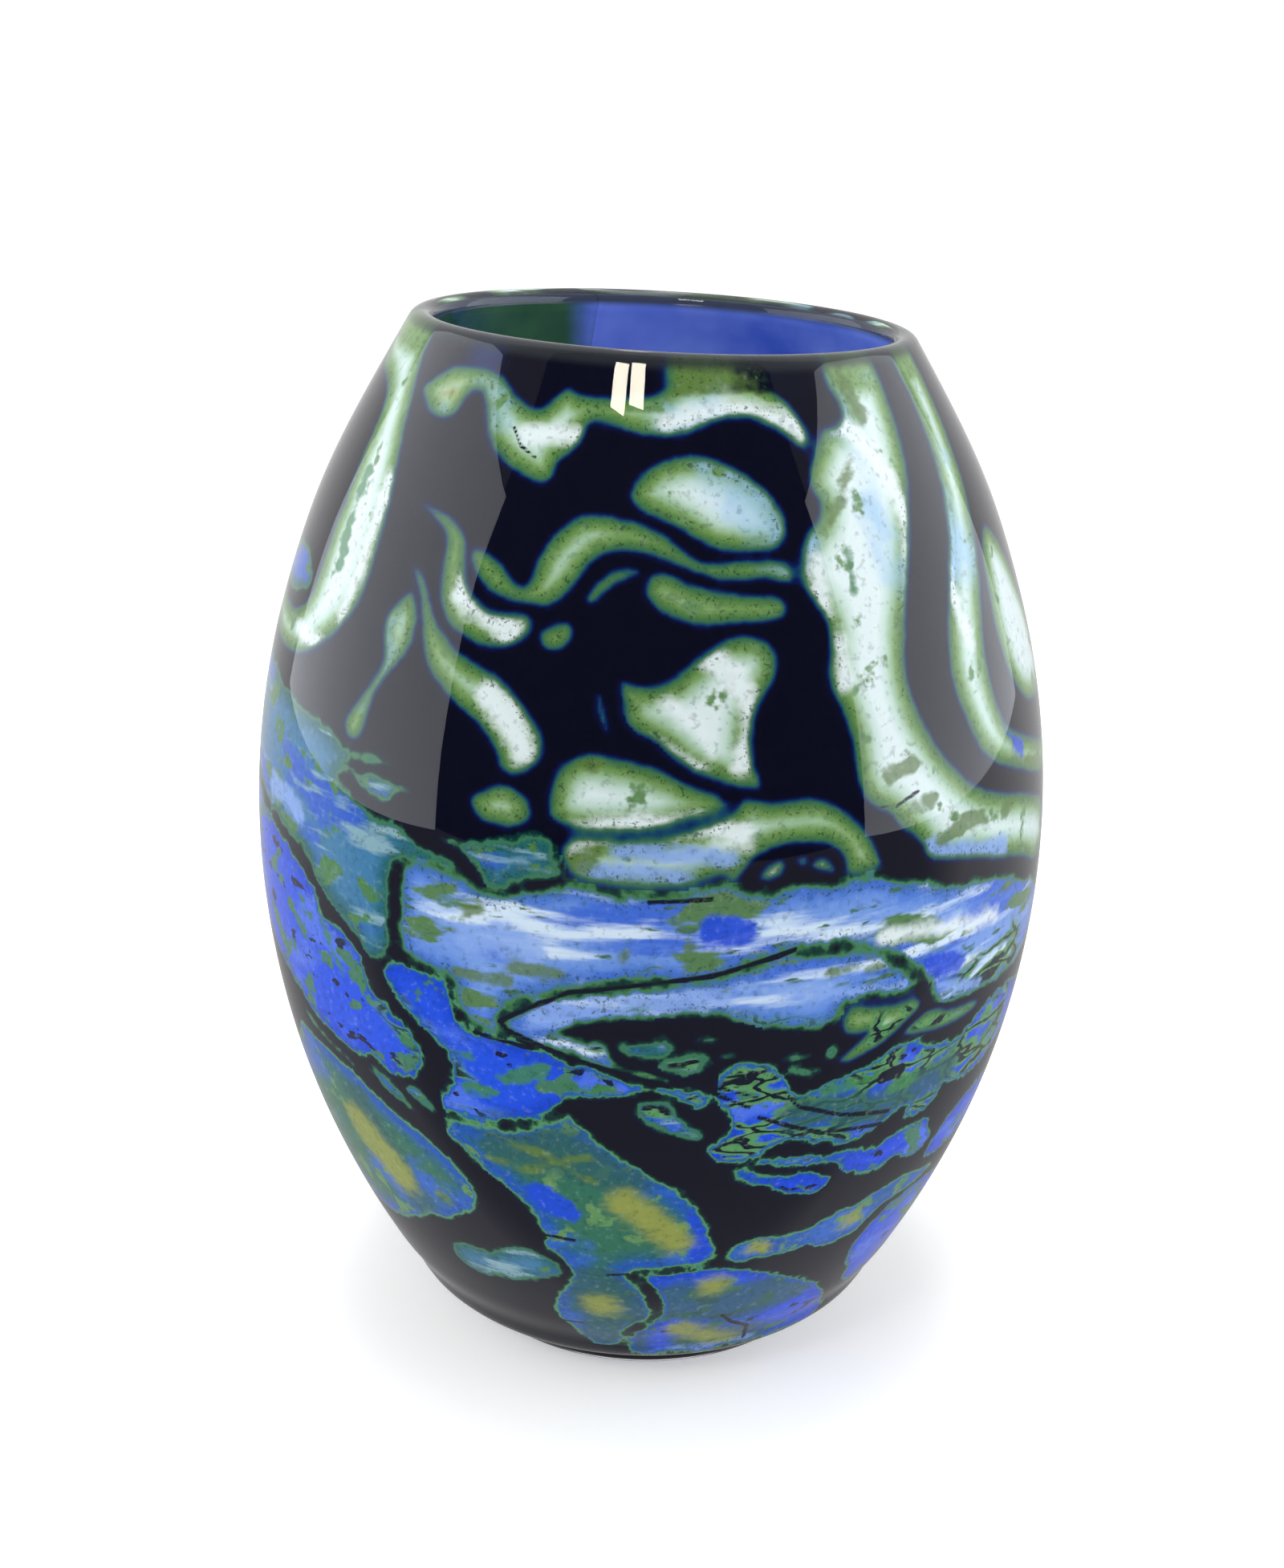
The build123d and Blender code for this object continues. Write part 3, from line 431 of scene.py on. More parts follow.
# Brush strokes on the front: (half width in mm, points of (azimuth, height in mm)). Most are paint, in
# PAINT's colours; cells is where the glass breaks up into lobes.
STROKES = {
    "white": [
        (2.0, [(-51.5, 222), (-51, 212), (-51.5, 203), (-53, 194)]),
        (1.6, [(-66, 186.5), (-60, 186), (-54, 186)]),
        (1.8, [(-24, 235), (-19, 235.6), (-15, 235.5)]),
        (2.2, [(2, 238.5), (6, 239.5), (12, 241), (18, 240.5), (24, 238.5), (28, 236)]),
        (3.0, [(-22.5, 186), (-19, 182), (-17, 176)]),
        (3.0, [(-29, 205), (-24, 201.5), (-20.5, 198.5)]),
        (2.6, [(8, 196), (12, 190), (14, 182), (12, 175)]),
        (1.4, [(2, 187), (6, 183), (8, 177)]), (1.2, [(-2, 180), (3, 177), (6, 174.5)]),
        (2.4, [(33, 252), (34, 240), (40, 233), (44, 226), (45, 216), (43, 206), (41, 196)]),
        (1.8, [(25.5, 212), (25.5, 203)]), (1.8, [(27.5, 197), (27.5, 189)]),
        (1.9, [(50, 214), (51, 204), (52.5, 194), (53, 190)]),
        (2.2, [(-10, 160), (-2, 163), (6, 163), (12, 160)]),
        (0.9, [(13.5, 155), (19, 155.2), (24, 153.8)]), (0.8, [(14, 152), (19, 151.5), (23.5, 152)]),
        (1.8, [(32, 134), (40, 132.5), (48, 130), (55, 128)]),
    ],
    "sky": [
        (3.2, [(40, 150), (47, 146), (56, 143)]), (3.0, [(-66, 150), (-60, 150.5), (-56, 149)]),
        (1.6, [(-8, 153), (0, 153.5), (6, 151)]), (1.6, [(-4, 158), (4, 157), (10, 156)]),
        (3.6, [(-23, 135), (-19, 137), (-15, 134)]), (3.2, [(-14, 120), (-6, 121), (2, 118)]),
        (1.3, [(12, 127), (22, 124.5), (30, 122), (36, 120.5)]), (1.3, [(42, 118), (52, 112)]),
        (3.0, [(8, 12), (16, 11.5), (24, 12.5)]), (2.0, [(-8, 126), (2, 125), (10, 125)]),
    ],
    "blue": [
        (3.4, [(39, 123), (46, 121)]), (3.0, [(8, 141), (12, 140)]),
        (3.6, [(-15.5, 71), (-12, 67)]), (2.6, [(8, 67), (10, 60), (9, 53)]),
        (2.4, [(60, 170), (64, 163)]),
    ],
    "yellow": [
        (4.2, [(-3, 71), (1.5, 65), (5, 59)]), (4.6, [(-8, 34), (-7.5, 33)]),
        (4.0, [(12.5, 42), (13, 41)]), (3.2, [(8, 24), (12, 20.5), (20, 16)]),
        (6.0, [(-50, 72), (-45, 66), (-43, 62)]), (2.6, [(19, 53.5), (20, 53)]),
        (2.6, [(36, 55), (37, 54.6)]), (1.2, [(-44.5, 240.8), (-46.5, 240)]),
    ],
    "olive": [
        (2.0, [(39, 250), (41, 244), (42, 238)]), (1.6, [(33, 168), (37, 170)]),
        (2.6, [(5, 245.5), (14, 246), (26, 245)]), (0.9, [(29, 218), (32, 223), (36.5, 230)]),
        (1.5, [(36, 160.5), (40, 161)]), (2.0, [(42, 152), (47, 153.5), (52, 152)]),
        (1.2, [(20, 133.5), (28, 133)]), (0.9, [(30, 131), (34, 130.6)]),
        (0.8, [(24, 128), (28, 127.8)]), (0.7, [(29, 127.5), (35, 127)]),
        (1.6, [(-24, 140.5), (-22, 142)]), (1.3, [(-17, 130.5), (-11, 130.5)]),
        (1.1, [(-25, 126.5), (-18, 126.5)]), (1.0, [(-3, 134), (-2.8, 137)]),
        (1.0, [(5, 137), (5.4, 138)]), (2.4, [(-9, 153), (-7, 158)]),
        (1.5, [(-34, 62), (-33, 61)]), (0.8, [(-26, 80), (-18, 78), (-8, 84)]),
        (0.8, [(-22, 87), (-14, 83), (-7, 77)]), (2.6, [(-8, 176), (-10, 186), (-7, 195)]),
        (2.0, [(57, 152), (66, 157), (74, 155)]),
    ],
    "green": [
        (1.6, [(-19, 102), (-16, 105), (-13.5, 107)]), (1.3, [(-11, 102.5), (-5, 102.5)]),
        (1.2, [(-25, 98.5), (-21, 98.5)]), (1.2, [(-28, 106.5), (-24, 106.5)]),
        (0.8, [(-50, 127), (-48, 121), (-46, 116)]), (0.7, [(-42, 119), (-40.5, 113)]),
        (1.3, [(-35, 106), (-33, 106)]), (1.6, [(37, 94.5), (40, 94.5)]),
        (1.4, [(-57, 203), (-58.5, 213), (-59, 222)]), (1.0, [(48, 60), (50, 70)]),
        (1.0, [(21, 97.5), (27, 99), (33, 99)]), (0.9, [(31, 206), (31, 214)]),
    ],
    "night": [(3.0, [(17, 247), (28, 244.5)])],
    "teal": [
        (9.0, [(-8, 40), (-5, 28), (-7, 12)]), (9.0, [(7, 36), (17, 32), (30, 36)]),
        (7.0, [(12, 18), (24, 16)]), (7.0, [(-20, 86), (-11, 85), (-3, 80)]), (6.0, [(-48, 80), (-40, 56)]),
        (5.0, [(22, 94), (34, 90), (48, 92)]),
    ],
    "cells": [
        (15.0, [(0, 112), (12, 108), (26, 103), (42, 104), (60, 110)]),
        (13.0, [(4, 96), (20, 90), (40, 90), (60, 96)]), (7.0, [(-38, 116), (-31, 106), (-26, 98)]),
    ],
    "crack": [
        (0.55, [(19, 135), (8, 130.5), (0, 129), (-10, 126), (-15, 121.5), (-19.3, 117), (-18, 114.5)]),
        (0.4, [(41, 119), (40.3, 115.5), (41.5, 113.5), (46, 110.7), (50, 110)]),
        (0.5, [(-23, 113), (-15, 111.5)]), (0.5, [(-18, 115), (-12, 111.5), (-4, 107.5), (3, 104)]),
        (0.5, [(-4.3, 113), (-4, 111), (0, 108.5), (4, 106), (8, 103), (14, 97.5)]),
        (0.4, [(6, 105.5), (10, 103.2), (15.2, 99.8)]),
        (0.5, [(15.5, 94.5), (22, 89.5), (26, 87), (36, 84.5)]),
        (0.5, [(19.5, 99), (21, 96), (28, 91), (37, 87.5)]), (1.8, [(34.5, 98), (37.5, 98.5)]),
        (0.4, [(30, 163), (34, 162), (38, 164)]), (0.5, [(0, 147), (8, 147.5)]),
        (0.3, [(-27, 236), (-25, 233), (-21.5, 231)]), (0.5, [(-16.5, 58), (-11, 57.5)]),
        (0.4, [(-17, 24.5), (-12, 25)]), (0.6, [(16, 28), (19, 24), (23, 21), (24.5, 12)]),
        (0.4, [(-6, 46), (-2.5, 46.8)]),
    ],
}


def stroke_field(azimuth, height, strokes):
    """How far inside any of the brush strokes each point lies, negative outside."""
    result = np.full(len(azimuth), FAR / 2)
    for half_width, points in strokes:
        line = np.array(points, float) * (1, MM)
        turned, near = near_box(azimuth, height, line, half_width * MM - FAR / 2)
        gap = gap_to_lines(turned[near], height[near], line[:-1], line[1:])
        result[near] = np.maximum(result[near], half_width * MM - gap)
    return result


# The back's patches are the front's, turned, squeezed, twisted and waved, as in the CAD.
BACK_SQUEEZE, BACK_TWIST, BACK_WAVE, LIP_HEIGHT = 0.93, 9.0, 5.0, 251.5


def back_strokes(strokes):
    """The front's strokes turned to the back, as the patches there are."""
    moved = []
    for half_width, points in strokes:
        line = []
        for azimuth, height in points:
            twist = BACK_TWIST * math.sin(height / 45) * math.cos(math.radians(azimuth))
            fade = math.sin(math.pi * min(max(height / LIP_HEIGHT, 0), 1))
            wave = BACK_WAVE * math.sin(math.radians(2 * azimuth + 40)) * fade
            line.append((180 + BACK_SQUEEZE * azimuth + twist, height + wave))
        moved.append((half_width, line))
    return moved


def skin_azimuths():
    """The grid's azimuths: close together on the front, wider apart on the back."""
    front = np.arange(-95, 95, FRONT_STEP)
    return np.concatenate([front, np.arange(95, 265, BACK_STEP)])


def skin_grid():
    """The outer face of the coloured glass as a grid of points, with each point's azimuth."""
    azimuths = skin_azimuths()
    count = int(WALL_S[-1] / SKIN_ROW)
    profiles = [shell_rows(azimuth, CASE, COLOUR_DROP, count) for azimuth in azimuths]
    radius = np.array([p[0] for p in profiles]).T
    height = np.array([p[1] for p in profiles]).T
    azimuth = np.broadcast_to((azimuths + 180) % 360 - 180, radius.shape)
    return place(azimuth, radius, height), azimuth


def skin_fields(azimuth, height):
    """(names, depth in each patch, seam-rounded depth, stroke fields) at every grid point."""
    names = sorted(n for n in NODES if n.startswith("inlay_"))
    depths = np.array([depth_in(azimuth, height, patch_loops(n)) for n in names])
    best = depths.max(0)
    for prefix in ("inlay_", "inlay_back_"):
        for a, b in JOINED:
            if prefix + a in names and prefix + b in names:
                pair = [depths[names.index(prefix + n)] for n in (a, b)]
                best = np.maximum(best, smooth_max(pair[0], pair[1], JOIN_REACH))
    strokes = {}
    for kind, front in STROKES.items():
        strokes[kind] = stroke_field(azimuth, height, front + back_strokes(front))
    return names, depths, best, strokes


HALO = 0.8 * MM      # the dark rim outside a patch's outline that belongs to its piece


def skin_pieces():
    """The coloured skin, cut into one piece for each patch and one for the ground."""
    points, azimuth = skin_grid()
    rows, columns = azimuth.shape
    flat = points.reshape(-1, 3)
    plane = LIP[0] + flat[:, 0] * LIP[1] + flat[:, 1] * LIP[2]
    open_height = np.clip(flat[:, 2], OPEN_BOTTOM, plane - LIP_ROLL - OPEN_TOP)
    names, depths, best, strokes = skin_fields(azimuth.ravel(), open_height)
    faces = grid_faces(rows, columns, True)
    owner = np.where(best > -HALO, depths.argmax(0), -1)[faces[:, 0]]
    owner = np.where(flat[faces[:, 0], 2] < GROUND_BELOW, -1, owner)
    normals = skin_normals(points)
    pieces = {}
    for index, name in [(-1, "dark_ground")] + list(enumerate(names)):
        chosen = faces[owner == index]
        if len(chosen) == 0:
            continue
        used, renumbered = np.unique(chosen, return_inverse=True)
        piece = add_mesh("skin_" + name, flat[used], renumbered.reshape(-1, 4))
        piece.data.normals_split_custom_set_from_vertices(normals[used])
        store(piece, "depth", best[used])
        store(piece, "below_lip", (plane - flat[:, 2])[used])
        for kind, values in strokes.items():
            store(piece, kind, values[used])
        pieces[name] = piece
    return pieces


def skin_normals(points):
    """A smooth outward normal at every grid point."""
    across = np.roll(points, -1, 1) - np.roll(points, 1, 1)
    up = np.gradient(points, axis=0)
    normal = np.cross(across, up)
    return (normal / np.linalg.norm(normal, axis=2, keepdims=True)).reshape(-1, 3)


def store(piece, name, values):
    """A value in millimetres at each vertex, for the materials."""
    layer = piece.data.attributes.new(name, "FLOAT", "POINT")
    layer.data.foreach_set("value", (values / MM).astype(np.float32))


# ---------------------------------------------------------------- materials


def colour(red, green, blue):
    """A linear colour from the usual 0 to 255 values."""
    values = [c / 255 for c in (red, green, blue)]
    return (*[v / 12.92 if v < 0.04 else ((v + 0.055) / 1.055) ** 2.4 for v in values], 1.0)


# The colours of each kind of glass, by depth in millimetres from a patch's edge inwards.
RAMPS = {
    "ground_glass": [(-1, (10, 11, 27)), (0.2, (12, 18, 60)), (1.2, (40, 96, 62))],
    "pale_glass": [
        (-0.5, (10, 11, 28)), (0.0, (12, 26, 80)), (0.4, (24, 70, 96)), (0.8, (54, 102, 74)),
        (2.0, (88, 128, 66)), (3.2, (118, 152, 92)), (4.4, (152, 184, 150)), (5.8, (188, 212, 200)),
        (8.0, (216, 230, 230)),
    ],
    "sky_glass": [
        (-0.5, (10, 11, 28)), (0.1, (14, 60, 52)), (0.6, (66, 120, 70)), (1.3, (62, 108, 160)),
        (2.4, (74, 116, 200)), (4.5, (98, 138, 212)), (7.0, (116, 152, 218)),
    ],
    "cobalt_glass": [
        (-0.5, (10, 11, 28)), (0.1, (12, 50, 50)), (0.5, (76, 138, 84)), (0.9, (30, 90, 150)),
        (1.5, (16, 64, 200)), (5.0, (30, 78, 214)),
    ],
    "cream_glass": [
        (-0.5, (10, 11, 28)), (0.1, (12, 55, 50)), (0.6, (84, 142, 86)), (1.2, (34, 92, 150)),
        (2.2, (26, 80, 180)), (4.0, (32, 90, 146)), (6.0, (40, 98, 104)), (9, (48, 104, 84)),
    ],
    "teal_glass": [
        (-0.5, (10, 11, 28)), (0.1, (10, 50, 52)), (0.6, (60, 116, 78)), (1.4, (34, 96, 98)),
        (3.0, (38, 100, 122)), (6.0, (60, 118, 158)),
    ],
}

# How far the bands wander from a patch's outline, in mm: slow waves and fine ones.
WANDER = {
    "ground_glass": (2.0, 1.2), "pale_glass": (1.4, 0.8), "sky_glass": (4.0, 2.4),
    "cobalt_glass": (4.5, 3.4), "cream_glass": (4.0, 2.6), "teal_glass": (4.0, 2.6),
}

# Streaks and clouds in the glass: waves to the metre along and across, tilt in degrees,
# the noise levels between which the colour comes in, and the colour.
CLOUDS = {
    "pale_glass": [(30, 30, 0, 0.56, 0.72, (150, 190, 222)), (160, 160, 0, 0.60, 0.68, (98, 136, 88))],
    "sky_glass": [
        (22, 120, -8, 0.46, 0.60, (62, 104, 206)), (26, 190, -6, 0.52, 0.66, (206, 224, 240)),
        (40, 150, -8, 0.56, 0.62, (84, 122, 78)), (120, 420, -10, 0.60, 0.68, (66, 106, 84)),
    ],
    "cobalt_glass": [
        (45, 90, 12, 0.52, 0.66, (72, 108, 218)), (90, 130, 8, 0.57, 0.60, (64, 116, 92)),
        (150, 260, 10, 0.62, 0.645, (12, 22, 60)),
    ],
    "cream_glass": [
        (40, 60, 30, 0.50, 0.62, (46, 98, 186)), (130, 130, 0, 0.58, 0.63, (92, 136, 84)),
    ],
    "teal_glass": [
        (30, 70, 30, 0.50, 0.60, (44, 92, 190)), (50, 300, 34, 0.52, 0.66, (128, 164, 176)),
        (110, 160, 20, 0.57, 0.62, (72, 122, 74)),
    ],
    "ground_glass": [],
}
RAMP_FROM, RAMP_TO = -1.0, 9.0

# The brush strokes' colours, in the order in which they are laid on:
# (attribute, colour, softness of the edge in mm, roughness of the outline in mm, strength).
PAINT = [
    ("teal", (42, 88, 90), 6.0, 3.2, 0.85),
    ("sky", (132, 164, 226), 3.0, 3.0, 0.85),
    ("blue", (22, 68, 205), 2.0, 3.0, 0.9),
    ("olive", (88, 116, 56), 1.8, 3.2, 0.85),
    ("green", (60, 122, 74), 1.6, 3.2, 0.9),
    ("yellow", (138, 146, 70), 5.0, 3.2, 0.95),
    ("white", (226, 236, 238), 3.4, 2.2, 0.9),
    ("crack", (10, 14, 34), 0.4, 0.5, 1.0),
    ("night", (10, 14, 30), 2.4, 2.4, 1.0),
]
OVER_EDGES = ("crack", "night")    # the strokes that also cover a patch's rim


def new_node(nodes, kind, **values):
    """A shader node with some of its fields set."""
    node = nodes.new(kind)
    for name, value in values.items():
        setattr(node, name, value)
    return node


def noise(tree, coordinates, scale, detail):
    """The factor of a noise texture of so many waves to the metre."""
    texture = new_node(tree.nodes, "ShaderNodeTexNoise")
    texture.inputs["Scale"].default_value = scale
    texture.inputs["Detail"].default_value = detail
    tree.links.new(coordinates, texture.inputs["Vector"])
    return texture.outputs["Fac"]


def calculate(tree, operation, first, second, third=None):
    """The result of a sum on numbers or sockets."""
    node = new_node(tree.nodes, "ShaderNodeMath", operation=operation)
    for socket, value in zip(node.inputs, (first, second, third)):
        if value is None:
            continue
        if isinstance(value, (int, float)):
            socket.default_value = value
        else:
            tree.links.new(value, socket)
    return node.outputs[0]


def step_up(tree, value, low, high):
    """0 below low, 1 above high and a smooth rise between."""
    node = new_node(tree.nodes, "ShaderNodeMapRange", interpolation_type="SMOOTHSTEP")
    node.inputs["From Min"].default_value = low
    node.inputs["From Max"].default_value = high
    tree.links.new(value, node.inputs["Value"])
    return node.outputs["Result"]


def mixed(tree, factor, below, above):
    """Two colours mixed by a factor."""
    node = new_node(tree.nodes, "ShaderNodeMix", data_type="RGBA")
    tree.links.new(factor, node.inputs["Factor"])
    for socket, value in ((node.inputs[6], below), (node.inputs[7], above)):
        if isinstance(value, tuple):
            socket.default_value = value
        else:
            tree.links.new(value, socket)
    return node.outputs[2]


def attribute(tree, name):
    """A value stored at the vertices."""
    return new_node(tree.nodes, "ShaderNodeAttribute", attribute_name=name).outputs["Fac"]


def colour_ramp(tree, value, stops):
    """A colour by depth in millimetres."""
    share = step_linear(tree, value, RAMP_FROM, RAMP_TO)
    ramp = new_node(tree.nodes, "ShaderNodeValToRGB")
    elements = ramp.color_ramp.elements
    while len(elements) < len(stops):
        elements.new(0.5)
    for element, (depth, shade) in zip(elements, stops):
        element.position = (depth - RAMP_FROM) / (RAMP_TO - RAMP_FROM)
        element.color = colour(*shade)
    tree.links.new(share, ramp.inputs[0])
    return ramp.outputs["Color"]


def step_linear(tree, value, low, high):
    """0 at low, 1 at high and a straight rise between."""
    node = new_node(tree.nodes, "ShaderNodeMapRange")
    node.inputs["From Min"].default_value = low
    node.inputs["From Max"].default_value = high
    tree.links.new(value, node.inputs["Value"])
    return node.outputs["Result"]


def streaks(tree, coordinates, along, across, tilt):
    """Noise drawn out sideways and tilted."""
    mapping = new_node(tree.nodes, "ShaderNodeMapping")
    mapping.inputs["Rotation"].default_value = (0, math.radians(tilt), 0)
    mapping.inputs["Scale"].default_value = (along, along, across)
    tree.links.new(coordinates, mapping.inputs["Vector"])
    return noise(tree, mapping.outputs[0], 1.0, 5)


def skin_material(name):
    """Coloured glass under the casing, built up in layers of colour."""
    material = bpy.data.materials.new(name)
    material.use_nodes = True
    tree = material.node_tree
    shader = tree.nodes["Principled BSDF"]
    shader.inputs["Roughness"].default_value = 0.6
    shader.inputs["Specular IOR Level"].default_value = 0.0
    place_at = new_node(tree.nodes, "ShaderNodeTexCoord").outputs["Object"]
    fine = calculate(tree, "SUBTRACT", noise(tree, place_at, 420, 4), 0.5)
    slow = calculate(tree, "SUBTRACT", noise(tree, place_at, 110, 2), 0.5)
    depth = calculate(tree, "MULTIPLY_ADD", slow, WANDER[name][0], attribute(tree, "depth"))
    depth = calculate(tree, "MULTIPLY_ADD", fine, WANDER[name][1], depth)
    well_in = step_up(tree, depth, 0.8, 2.0)
    shade = colour_ramp(tree, depth, RAMPS[name])
    shade = clouded(tree, place_at, shade, well_in, CLOUDS[name])
    shade = cells(tree, place_at, shade, well_in)
    shade = painted(tree, place_at, shade, well_in, fine, slow)
    shade = specked(tree, place_at, shade, depth)
    shade = mottled(tree, place_at, shade, well_in)
    # Painted reflection: a grey haze on the skin under the lip.
    shade = painted_haze_at_lip(tree, place_at, shade)
    tree.links.new(shade, shader.inputs["Base Color"])
    return material


def clouded(tree, coordinates, shade, well_in, clouds):
    """Streaks and clouds of other colours inside a patch."""
    for along, across, tilt, low, high, tint in clouds:
        cloud = step_up(tree, streaks(tree, coordinates, along, across, tilt), low, high)
        shade = mixed(tree, calculate(tree, "MULTIPLY", cloud, well_in), shade, colour(*tint))
    return shade


def painted(tree, coordinates, shade, well_in, fine, slow):
    """The brush strokes, with ragged outlines."""
    ragged = calculate(tree, "SUBTRACT", streaks(tree, coordinates, 90, 380, -8), 0.5)
    for kind, tint, soft, rough, strength in PAINT:
        amount = calculate(tree, "MULTIPLY_ADD", fine, rough, attribute(tree, kind))
        amount = calculate(tree, "MULTIPLY_ADD", slow, rough, amount)
        amount = calculate(tree, "MULTIPLY_ADD", ragged, rough * 1.5, amount)
        factor = calculate(tree, "MULTIPLY", step_up(tree, amount, -soft / 2, soft / 2), strength)
        if kind not in OVER_EDGES:
            factor = calculate(tree, "MULTIPLY", factor, well_in)
        shade = mixed(tree, factor, shade, colour(*tint))
    return shade


def specked(tree, coordinates, shade, depth):
    """Fine dark specks along a patch's rim."""
    band = calculate(tree, "MULTIPLY", step_up(tree, depth, 0.7, 1.4), step_up(tree, depth, 4.0, 2.4))
    dots = step_up(tree, noise(tree, coordinates, 1300, 2), 0.57, 0.64)
    dots = calculate(tree, "MULTIPLY", calculate(tree, "MULTIPLY", band, dots), 0.7)
    return mixed(tree, dots, shade, colour(36, 62, 44))


def mottled(tree, coordinates, shade, well_in):
    """Faint light and dark mottling."""
    mottle = noise(tree, coordinates, 650, 5)
    for low, high, much, tint in ((0.56, 0.72, 0.1, (206, 222, 206)), (0.46, 0.3, 0.3, (24, 48, 56))):
        spots = calculate(tree, "MULTIPLY", step_up(tree, mottle, low, high), much)
        shade = mixed(tree, calculate(tree, "MULTIPLY", spots, well_in), shade, colour(*tint))
    return shade


def painted_haze_at_lip(tree, coordinates, shade):
    """A grey band under the lip, wider on the back half: a painted reflection of the lip's clear glass,
    greying the colours under it.
    """
    split = new_node(tree.nodes, "ShaderNodeSeparateXYZ")
    tree.links.new(coordinates, split.inputs[0])
    reach = calculate(tree, "MULTIPLY_ADD", step_up(tree, split.outputs["Y"], 0.0, 0.03), 12.0, 4.0)
    drop = calculate(tree, "DIVIDE", attribute(tree, "below_lip"), reach)
    # Painted reflection: near the lip the skin's colours are mixed towards grey.
    lip_haze = calculate(tree, "MULTIPLY", step_up(tree, drop, 1.1, 0.55), 0.85)
    return mixed(tree, lip_haze, shade, colour(44, 48, 52))


def cells(tree, coordinates, shade, well_in):
    """Lobes with green outlines and dark gaps, where the brush strokes named cells lie."""
    mapping = new_node(tree.nodes, "ShaderNodeMapping")
    mapping.inputs["Rotation"].default_value = (0, math.radians(8), 0)
    mapping.inputs["Scale"].default_value = (62, 62, 170)
    tree.links.new(coordinates, mapping.inputs["Vector"])
    waves = new_node(tree.nodes, "ShaderNodeTexNoise")
    waves.inputs["Scale"].default_value = 0.9
    waves.inputs["Detail"].default_value = 3
    tree.links.new(mapping.outputs[0], waves.inputs["Vector"])
    warped = new_node(tree.nodes, "ShaderNodeVectorMath", operation="MULTIPLY_ADD")
    warped.inputs[1].default_value = (1.3, 1.3, 1.3)
    tree.links.new(waves.outputs["Color"], warped.inputs[0])
    tree.links.new(mapping.outputs[0], warped.inputs[2])
    lobes = new_node(tree.nodes, "ShaderNodeTexVoronoi", feature="DISTANCE_TO_EDGE")
    lobes.inputs["Scale"].default_value = 1.0
    tree.links.new(warped.outputs[0], lobes.inputs["Vector"])
    here = calculate(tree, "MULTIPLY", step_up(tree, attribute(tree, "cells"), 0.0, 5.0), well_in)
    for wide, tint in ((0.19, (84, 140, 88)), (0.06, (12, 18, 36))):
        line = step_up(tree, lobes.outputs["Distance"], wide, wide * 0.6)
        shade = mixed(tree, calculate(tree, "MULTIPLY", line, here), shade, colour(*tint))
    return shade


def lining_material(name):
    """The lining's glass: cloudy green that runs over into cloudy blue, with a painted glow in the same
    colours that stands in for light shining through the glass.
    """
    material = bpy.data.materials.new(name)
    material.use_nodes = True
    tree = material.node_tree
    shader = tree.nodes["Principled BSDF"]
    shader.inputs["Roughness"].default_value = 0.12
    shader.inputs["IOR"].default_value = 1.5
    place_at = new_node(tree.nodes, "ShaderNodeTexCoord").outputs["Object"]
    drift = noise(tree, place_at, 22, 4)
    cloud = step_up(tree, drift, 0.35, 0.68)
    green = mixed(tree, cloud, colour(26, 62, 34), colour(62, 102, 50))
    blue = mixed(tree, cloud, colour(58, 88, 196), colour(116, 140, 226))
    split = new_node(tree.nodes, "ShaderNodeSeparateXYZ")
    tree.links.new(place_at, split.inputs[0])
    across = calculate(tree, "MULTIPLY_ADD", drift, 0.012, split.outputs["X"])
    shade = mixed(tree, step_up(tree, across, -0.018, -0.008), green, blue)
    height = calculate(tree, "MULTIPLY_ADD", split.outputs["X"], -float(LIP[1]), split.outputs["Z"])
    height = calculate(tree, "MULTIPLY_ADD", split.outputs["Y"], -float(LIP[2]), height)
    rim = step_up(tree, height, float(LIP[0]) - 4.0 * MM, float(LIP[0]) - 2.0 * MM)
    shade = mixed(tree, rim, shade, colour(44, 50, 66))
    tree.links.new(shade, shader.inputs["Base Color"])
    # Painted light: the lining glows faintly in its own colours although it is no lamp.
    tree.links.new(shade, shader.inputs["Emission Color"])
    shader.inputs["Emission Strength"].default_value = 0.3
    return material


def clear_material():
    """Clear glass that lets the lights reach what lies under it."""
    material = bpy.data.materials.new("clear_glass")
    material.use_nodes = True
    tree = material.node_tree
    shader = tree.nodes["Principled BSDF"]
    shader.inputs["Transmission Weight"].default_value = 1.0
    shader.inputs["Roughness"].default_value = 0.0
    shader.inputs["IOR"].default_value = 1.5
    shader.inputs["Base Color"].default_value = colour(252, 253, 253)
    path = new_node(tree.nodes, "ShaderNodeLightPath")
    passing = new_node(tree.nodes, "ShaderNodeBsdfTransparent")
    passing.inputs["Color"].default_value = colour(246, 247, 248)
    blend = new_node(tree.nodes, "ShaderNodeMixShader")
    shadowed = calculate(tree, "MAXIMUM", path.outputs["Is Shadow Ray"], path.outputs["Is Diffuse Ray"])
    tree.links.new(shadowed, blend.inputs[0])
    tree.links.new(shader.outputs[0], blend.inputs[1])
    tree.links.new(passing.outputs[0], blend.inputs[2])
    tree.links.new(blend.outputs[0], tree.nodes["Material Output"].inputs["Surface"])
    return material


def plain_material(name, shade, glow=0.0, tint=(1, 1, 1, 1)):
    """A plain matt stage material, glowing if it is a lamp's panel."""
    material = bpy.data.materials.new(name)
    material.use_nodes = True
    shader = material.node_tree.nodes["Principled BSDF"]
    shader.inputs["Base Color"].default_value = shade
    shader.inputs["Roughness"].default_value = 0.9
    shader.inputs["Emission Color"].default_value = tint
    shader.inputs["Emission Strength"].default_value = glow
    return material


# ---------------------------------------------------------------- stage, lights and camera


